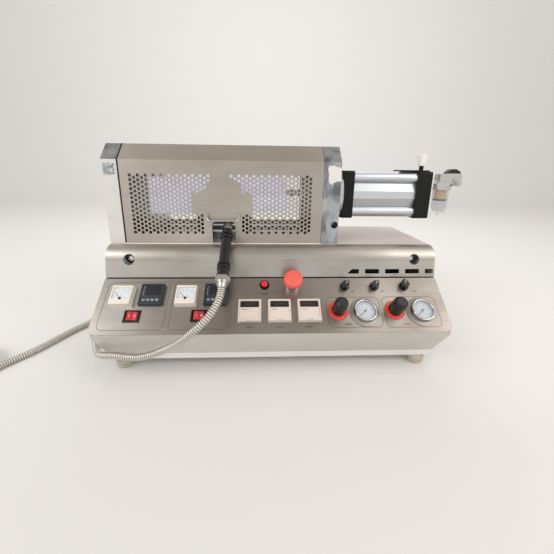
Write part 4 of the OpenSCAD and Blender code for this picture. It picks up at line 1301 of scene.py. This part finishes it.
# %% Protective film
# painted light: the film's emission is a painted glow, for light from behind
film, tree, shader = surface(
    "pale protective film", "#e9e7f6", Roughness=0.42, Alpha=0.93, Emission_Strength=0.42
)
shader.inputs["Emission Color"].default_value = linear("#e2e2f4")
haze = noise(tree, 16, 4, (1, 1, 2.4))
cloudy = blend_colors(tree, span(tree, haze, 0, 1), "#f4f3fc", "#cdc9e0")
feed(shader, Base_Color=cloudy)

FILM_X = (90, 391)
FILM_Z = (338, 420)
FILM_Y = 150.9
FILM_LIFT = 9
FILM_T = 0.00015
FILM_COLUMNS = 100
FILM_ROWS = 30


def film_point(u, v):
    """A point of the film. u runs from left to right and v from the upper edge down, 0 to 1."""
    slack = 0.5 * v * (1 + math.sin(u * 23 + v * 2) * math.cos(u * 7 - v * 5))
    x = FILM_X[0] + u * (FILM_X[1] - FILM_X[0])
    z = FILM_Z[1] - v * (FILM_Z[1] - FILM_Z[0]) + FILM_LIFT * u * v
    return at(x, FILM_Y + slack, z)


def film_piece(name, rows):
    """A piece of the film that swings with the guard."""
    made = piece(name, sheet_through(rows), UNTURNED, film, "guard", smooth=True)
    made.modifiers.new("thickness", "SOLIDIFY").thickness = FILM_T
    return made


rows = [
    [film_point(i / FILM_COLUMNS, j / FILM_ROWS) for i in range(FILM_COLUMNS + 1)]
    for j in range(FILM_ROWS + 1)
]
film_sheet = film_piece("protective_film", rows)

print("film faces", len(film_sheet.data.polygons))

# %% [markdown]
# The film's loose corner has rolled itself up, and its end shows as a small spiral. It could be
# bent out of the sheet, but the sheet would need many more points for one corner. So it is a
# strip of its own that touches the film: two turns that tighten towards their end.

# %% Rolled corner
CURL_R = 8
CURL_AT = Vector((398.2, 156.9, 352))
CURL_HALF = 6
CURL_STEPS = 60
CURL_TURN = 720
CURL_TIGHTENS = 2.2
rims = []
for k in range(CURL_STEPS + 1):
    share = k / CURL_STEPS
    x, z = polar(CURL_R - CURL_TIGHTENS * share, CURL_TURN * share)
    rims.append([at(*(CURL_AT + Vector((x, y, z)))) for y in (CURL_HALF, -CURL_HALF)])
film_piece("protective_film_curl", rims)
print("rolled strip", 2 * CURL_HALF, "mm wide")

# %% [markdown]
# Nuts on the cylinder's tie rods show between its front cap and the end plate. Small pan heads
# hold the back sheet. Threads could be modelled, but nobody sees them. So both are turned shapes,
# and the tree that repeats the ticks repeats them too.

# %% Nuts and screws
NUT = [(0, 0), (6.4, 0), (7.4, 1), (7.4, 9), (6.4, 10), (4, 10), (4, 12.5), (3.2, 13), (0, 13)]
PAN_HEAD = [(0, 0), (2.9, 0), (2.9, 0.8), (2.2, 1.7), (0, 2.1)]
FLANGE_FACE = 530
BACK_Y = 337
BACK_X = (52, 452)
BACK_Z = (280, 474)
tie_rod_nuts = repeated(moved(lathe(NUT, 6), 0, 60), zinc, 4, first=45, turn=90)
place = on_machine(FLANGE_FACE, AXIS_Y, AXIS_Z, spun(-90, "Y"))
piece("tie_rod_nuts", tie_rod_nuts, place, None)
for index, z in enumerate(BACK_Z):
    row = repeated(lathe(PAN_HEAD, 20), zinc, 6, ((BACK_X[1] - BACK_X[0]) / 5, 0, 0))
    place = on_machine(BACK_X[0], BACK_Y, z, spun(-90, "X"))
    piece(f"back_screws_{index + 1}", row, place, None)
print("nuts", 4, "back screws", 6 * len(BACK_Z))

# %% [markdown]
# Bushes line the two openings of the nose, and the bolt that holds the machine's frame shows at
# the bottom of each. Dark discs could stand for the hollows, but real ones stay dark from every
# side. A white strip lies along the foot of the guard on the deck.

# %% Bushes and foot strip
NOSE_HOLES = (50, 682)
NOSE_Y = 121
NOSE_Z = 245
BUSH = [(0, -9), (10.9, -9), (10.9, 15), (11.9, 15), (11.9, -10), (0, -10)]
# the head of the bolt at the bottom of each bush, a little off its middle
NOSE_BOLT = [(0, -9), (7, -9), (7, 1), (6, 2), (0, 2)]
BOLT_AT = (-1.5, -2.5)
for index, x in enumerate(NOSE_HOLES):
    place = on_machine(x, NOSE_Y, NOSE_Z, spun(90, "X"))
    piece(f"nose_bush_{index + 1}", lathe(BUSH), place, ground_steel)
    head = moved(lathe(NOSE_BOLT, 6), *BOLT_AT)
    piece(f"nose_bolt_{index + 1}", head, place, worn_rim)
STRIP_AT = (252.5, 140.4, 272)
piece("guard_foot_strip", block(444, 2.4, 1.4), on_machine(*STRIP_AT), white_nylon)
print("bushes", len(NOSE_HOLES))

# %% [markdown]
# A black strip fills the gap at the guard's left edge, where the gap shows as a dark line, and
# follows it up over the chamfer. The folded lip over the handle's opening has a rolled rim, which
# hands have polished.
# Bars could be bent to both lines, but two builders are here already: the edging is a thin plate
# on its side, and the rim is a round bar from the hose's tree, with grooves of no depth.

# %% Edging and lip rim
EDGING_X = (30.2, 33.3)
EDGING_LINE = [
    (141.8, 274), (141.8, CHAMFER_Z), (176.2, 489.6), (176.8, 488.9), (143, 454.5), (143, 274)
]  # fmt: skip
turn = Matrix(((0, 0, 1, 0), (1, 0, 0, 0), (0, 1, 0, 0), (0, 0, 0, 1)))
edging = plate(EDGING_LINE, EDGING_X[1] - EDGING_X[0])
piece("guard_edging", edging, on_machine(EDGING_X[0], 0, 0, turn), black_gap_strip, "guard")

LIP_X = 252
LIP_Y = 132.6
RIM_Z = (325.8, 341)
LIP_HALF = 35.5
LIP_BEND = 8
RIM_R = 0.0014
rim = [(LIP_X - LIP_HALF, LIP_Y, RIM_Z[1])]
for side, first in ((-1, 180), (1, 270)):
    for i in range(7):
        x, z = polar(LIP_BEND, first + 15 * i)
        x += LIP_X + side * (LIP_HALF - LIP_BEND)
        rim.append((x, LIP_Y, RIM_Z[0] + LIP_BEND + z))
rim.append((LIP_X + LIP_HALF, LIP_Y, RIM_Z[1]))
rim_mesh = round_bar("lip_rim", [at(*place) for place in rim], RIM_R, 0.006, 0.0, worn_rim)
piece("lip_rim", rim_mesh, UNTURNED, None, "guard", smooth=True)
print("lip rim has", len(rim_mesh.polygons), "faces")

# %% [markdown]
# The studio is a pale floor that curves up into a pale wall far behind, as a paper roll does.
# A plane and a wall would meet in a line across the picture, so one bent sheet takes their place.

# %% Studio floor
floor_mat, tree, shader = surface("pale matt paint on the studio floor", "#efeeec", Roughness=0.8)
feed(shader, Roughness=span(tree, noise(tree, 3, 3), 0.75, 0.88))

FLOOR_HALF = 12.0
WALL_START = 3.2
WALL_BEND = 1.2
WALL_TOP = 4.5
profile = [(-FLOOR_HALF, 0)]
for i in range(13):
    y, z = polar(WALL_BEND, 7.5 * i - 90)
    profile.append((WALL_START + y, WALL_BEND + z))
profile.append((WALL_START + WALL_BEND, WALL_TOP))
rows = [[(x, y, z) for y, z in profile] for x in (FLOOR_HALF, -FLOOR_HALF)]
floor_mesh = as_mesh("studio_floor", sheet_through(rows))
floor_mesh.materials.append(floor_mat)
for face in floor_mesh.polygons:
    face.use_smooth = True
floor = new_object("studio_floor", floor_mesh)
print("floor is", 2 * FLOOR_HALF, "m wide")

# %% [markdown]
# Steel shows what is round it. A picture of a room could be hung there, but a plain sky is
# enough for soft bands. The ceiling is dimmer than the walls, so that level steel stays a warm
# grey. Big soft lamps overhead and to the left give broad highlights and no hard glare.

# %% Sky and lamps
world = bpy.data.worlds.new("studio")
bpy.context.scene.world = world
world.use_nodes = True
tree = world.node_tree
height = span(tree, coordinate(tree, "Z", "Generated"), 0, 1, 0.15, 0.9)
background = tree.nodes["Background"]
tree.links.new(blend_colors(tree, height, "#f0f1f2", "#c0b8b0"), background.inputs["Color"])
background.inputs["Strength"].default_value = 0.97


def lamp(name, place, aim, width, length, power, color):
    """A soft rectangular lamp."""
    light = bpy.data.lights.new(name, "AREA")
    light.shape = "RECTANGLE"
    light.size = width
    light.size_y = length
    light.energy = power
    light.color = linear(color)[:3]
    made = new_object(name, light)
    made.location = place
    made.rotation_euler = (Vector(aim) - Vector(place)).to_track_quat("-Z", "Y").to_euler()


lamp("left_lamp", (-1.9, -1.5, 1.9), (0, 0, 0.25), 1.6, 1.2, 25, "#f8fafb")
lamp("right_lamp", (1.6, -1.4, 1.6), (0.1, 0, 0.25), 1.2, 0.9, 13, "#fdf9f4")
lamp("panel_lamp", (1.1, -0.75, 2.1), (0.2, -0.15, 0.17), 0.9, 0.9, 3.4, "#fdf8f2")
lamp("rim_lamp", (0.2, 1.5, 1.8), (0, 0.1, 0.35), 1.8, 0.7, 7, "#f6f8fc")
lamp("wall_lamp", (0, 0.9, 2.8), (0, 4.2, 1.2), 4.0, 1.0, 36, "#fbfbfa")
bpy.context.scene.view_settings.view_transform = "Standard"
print("lamps", 5)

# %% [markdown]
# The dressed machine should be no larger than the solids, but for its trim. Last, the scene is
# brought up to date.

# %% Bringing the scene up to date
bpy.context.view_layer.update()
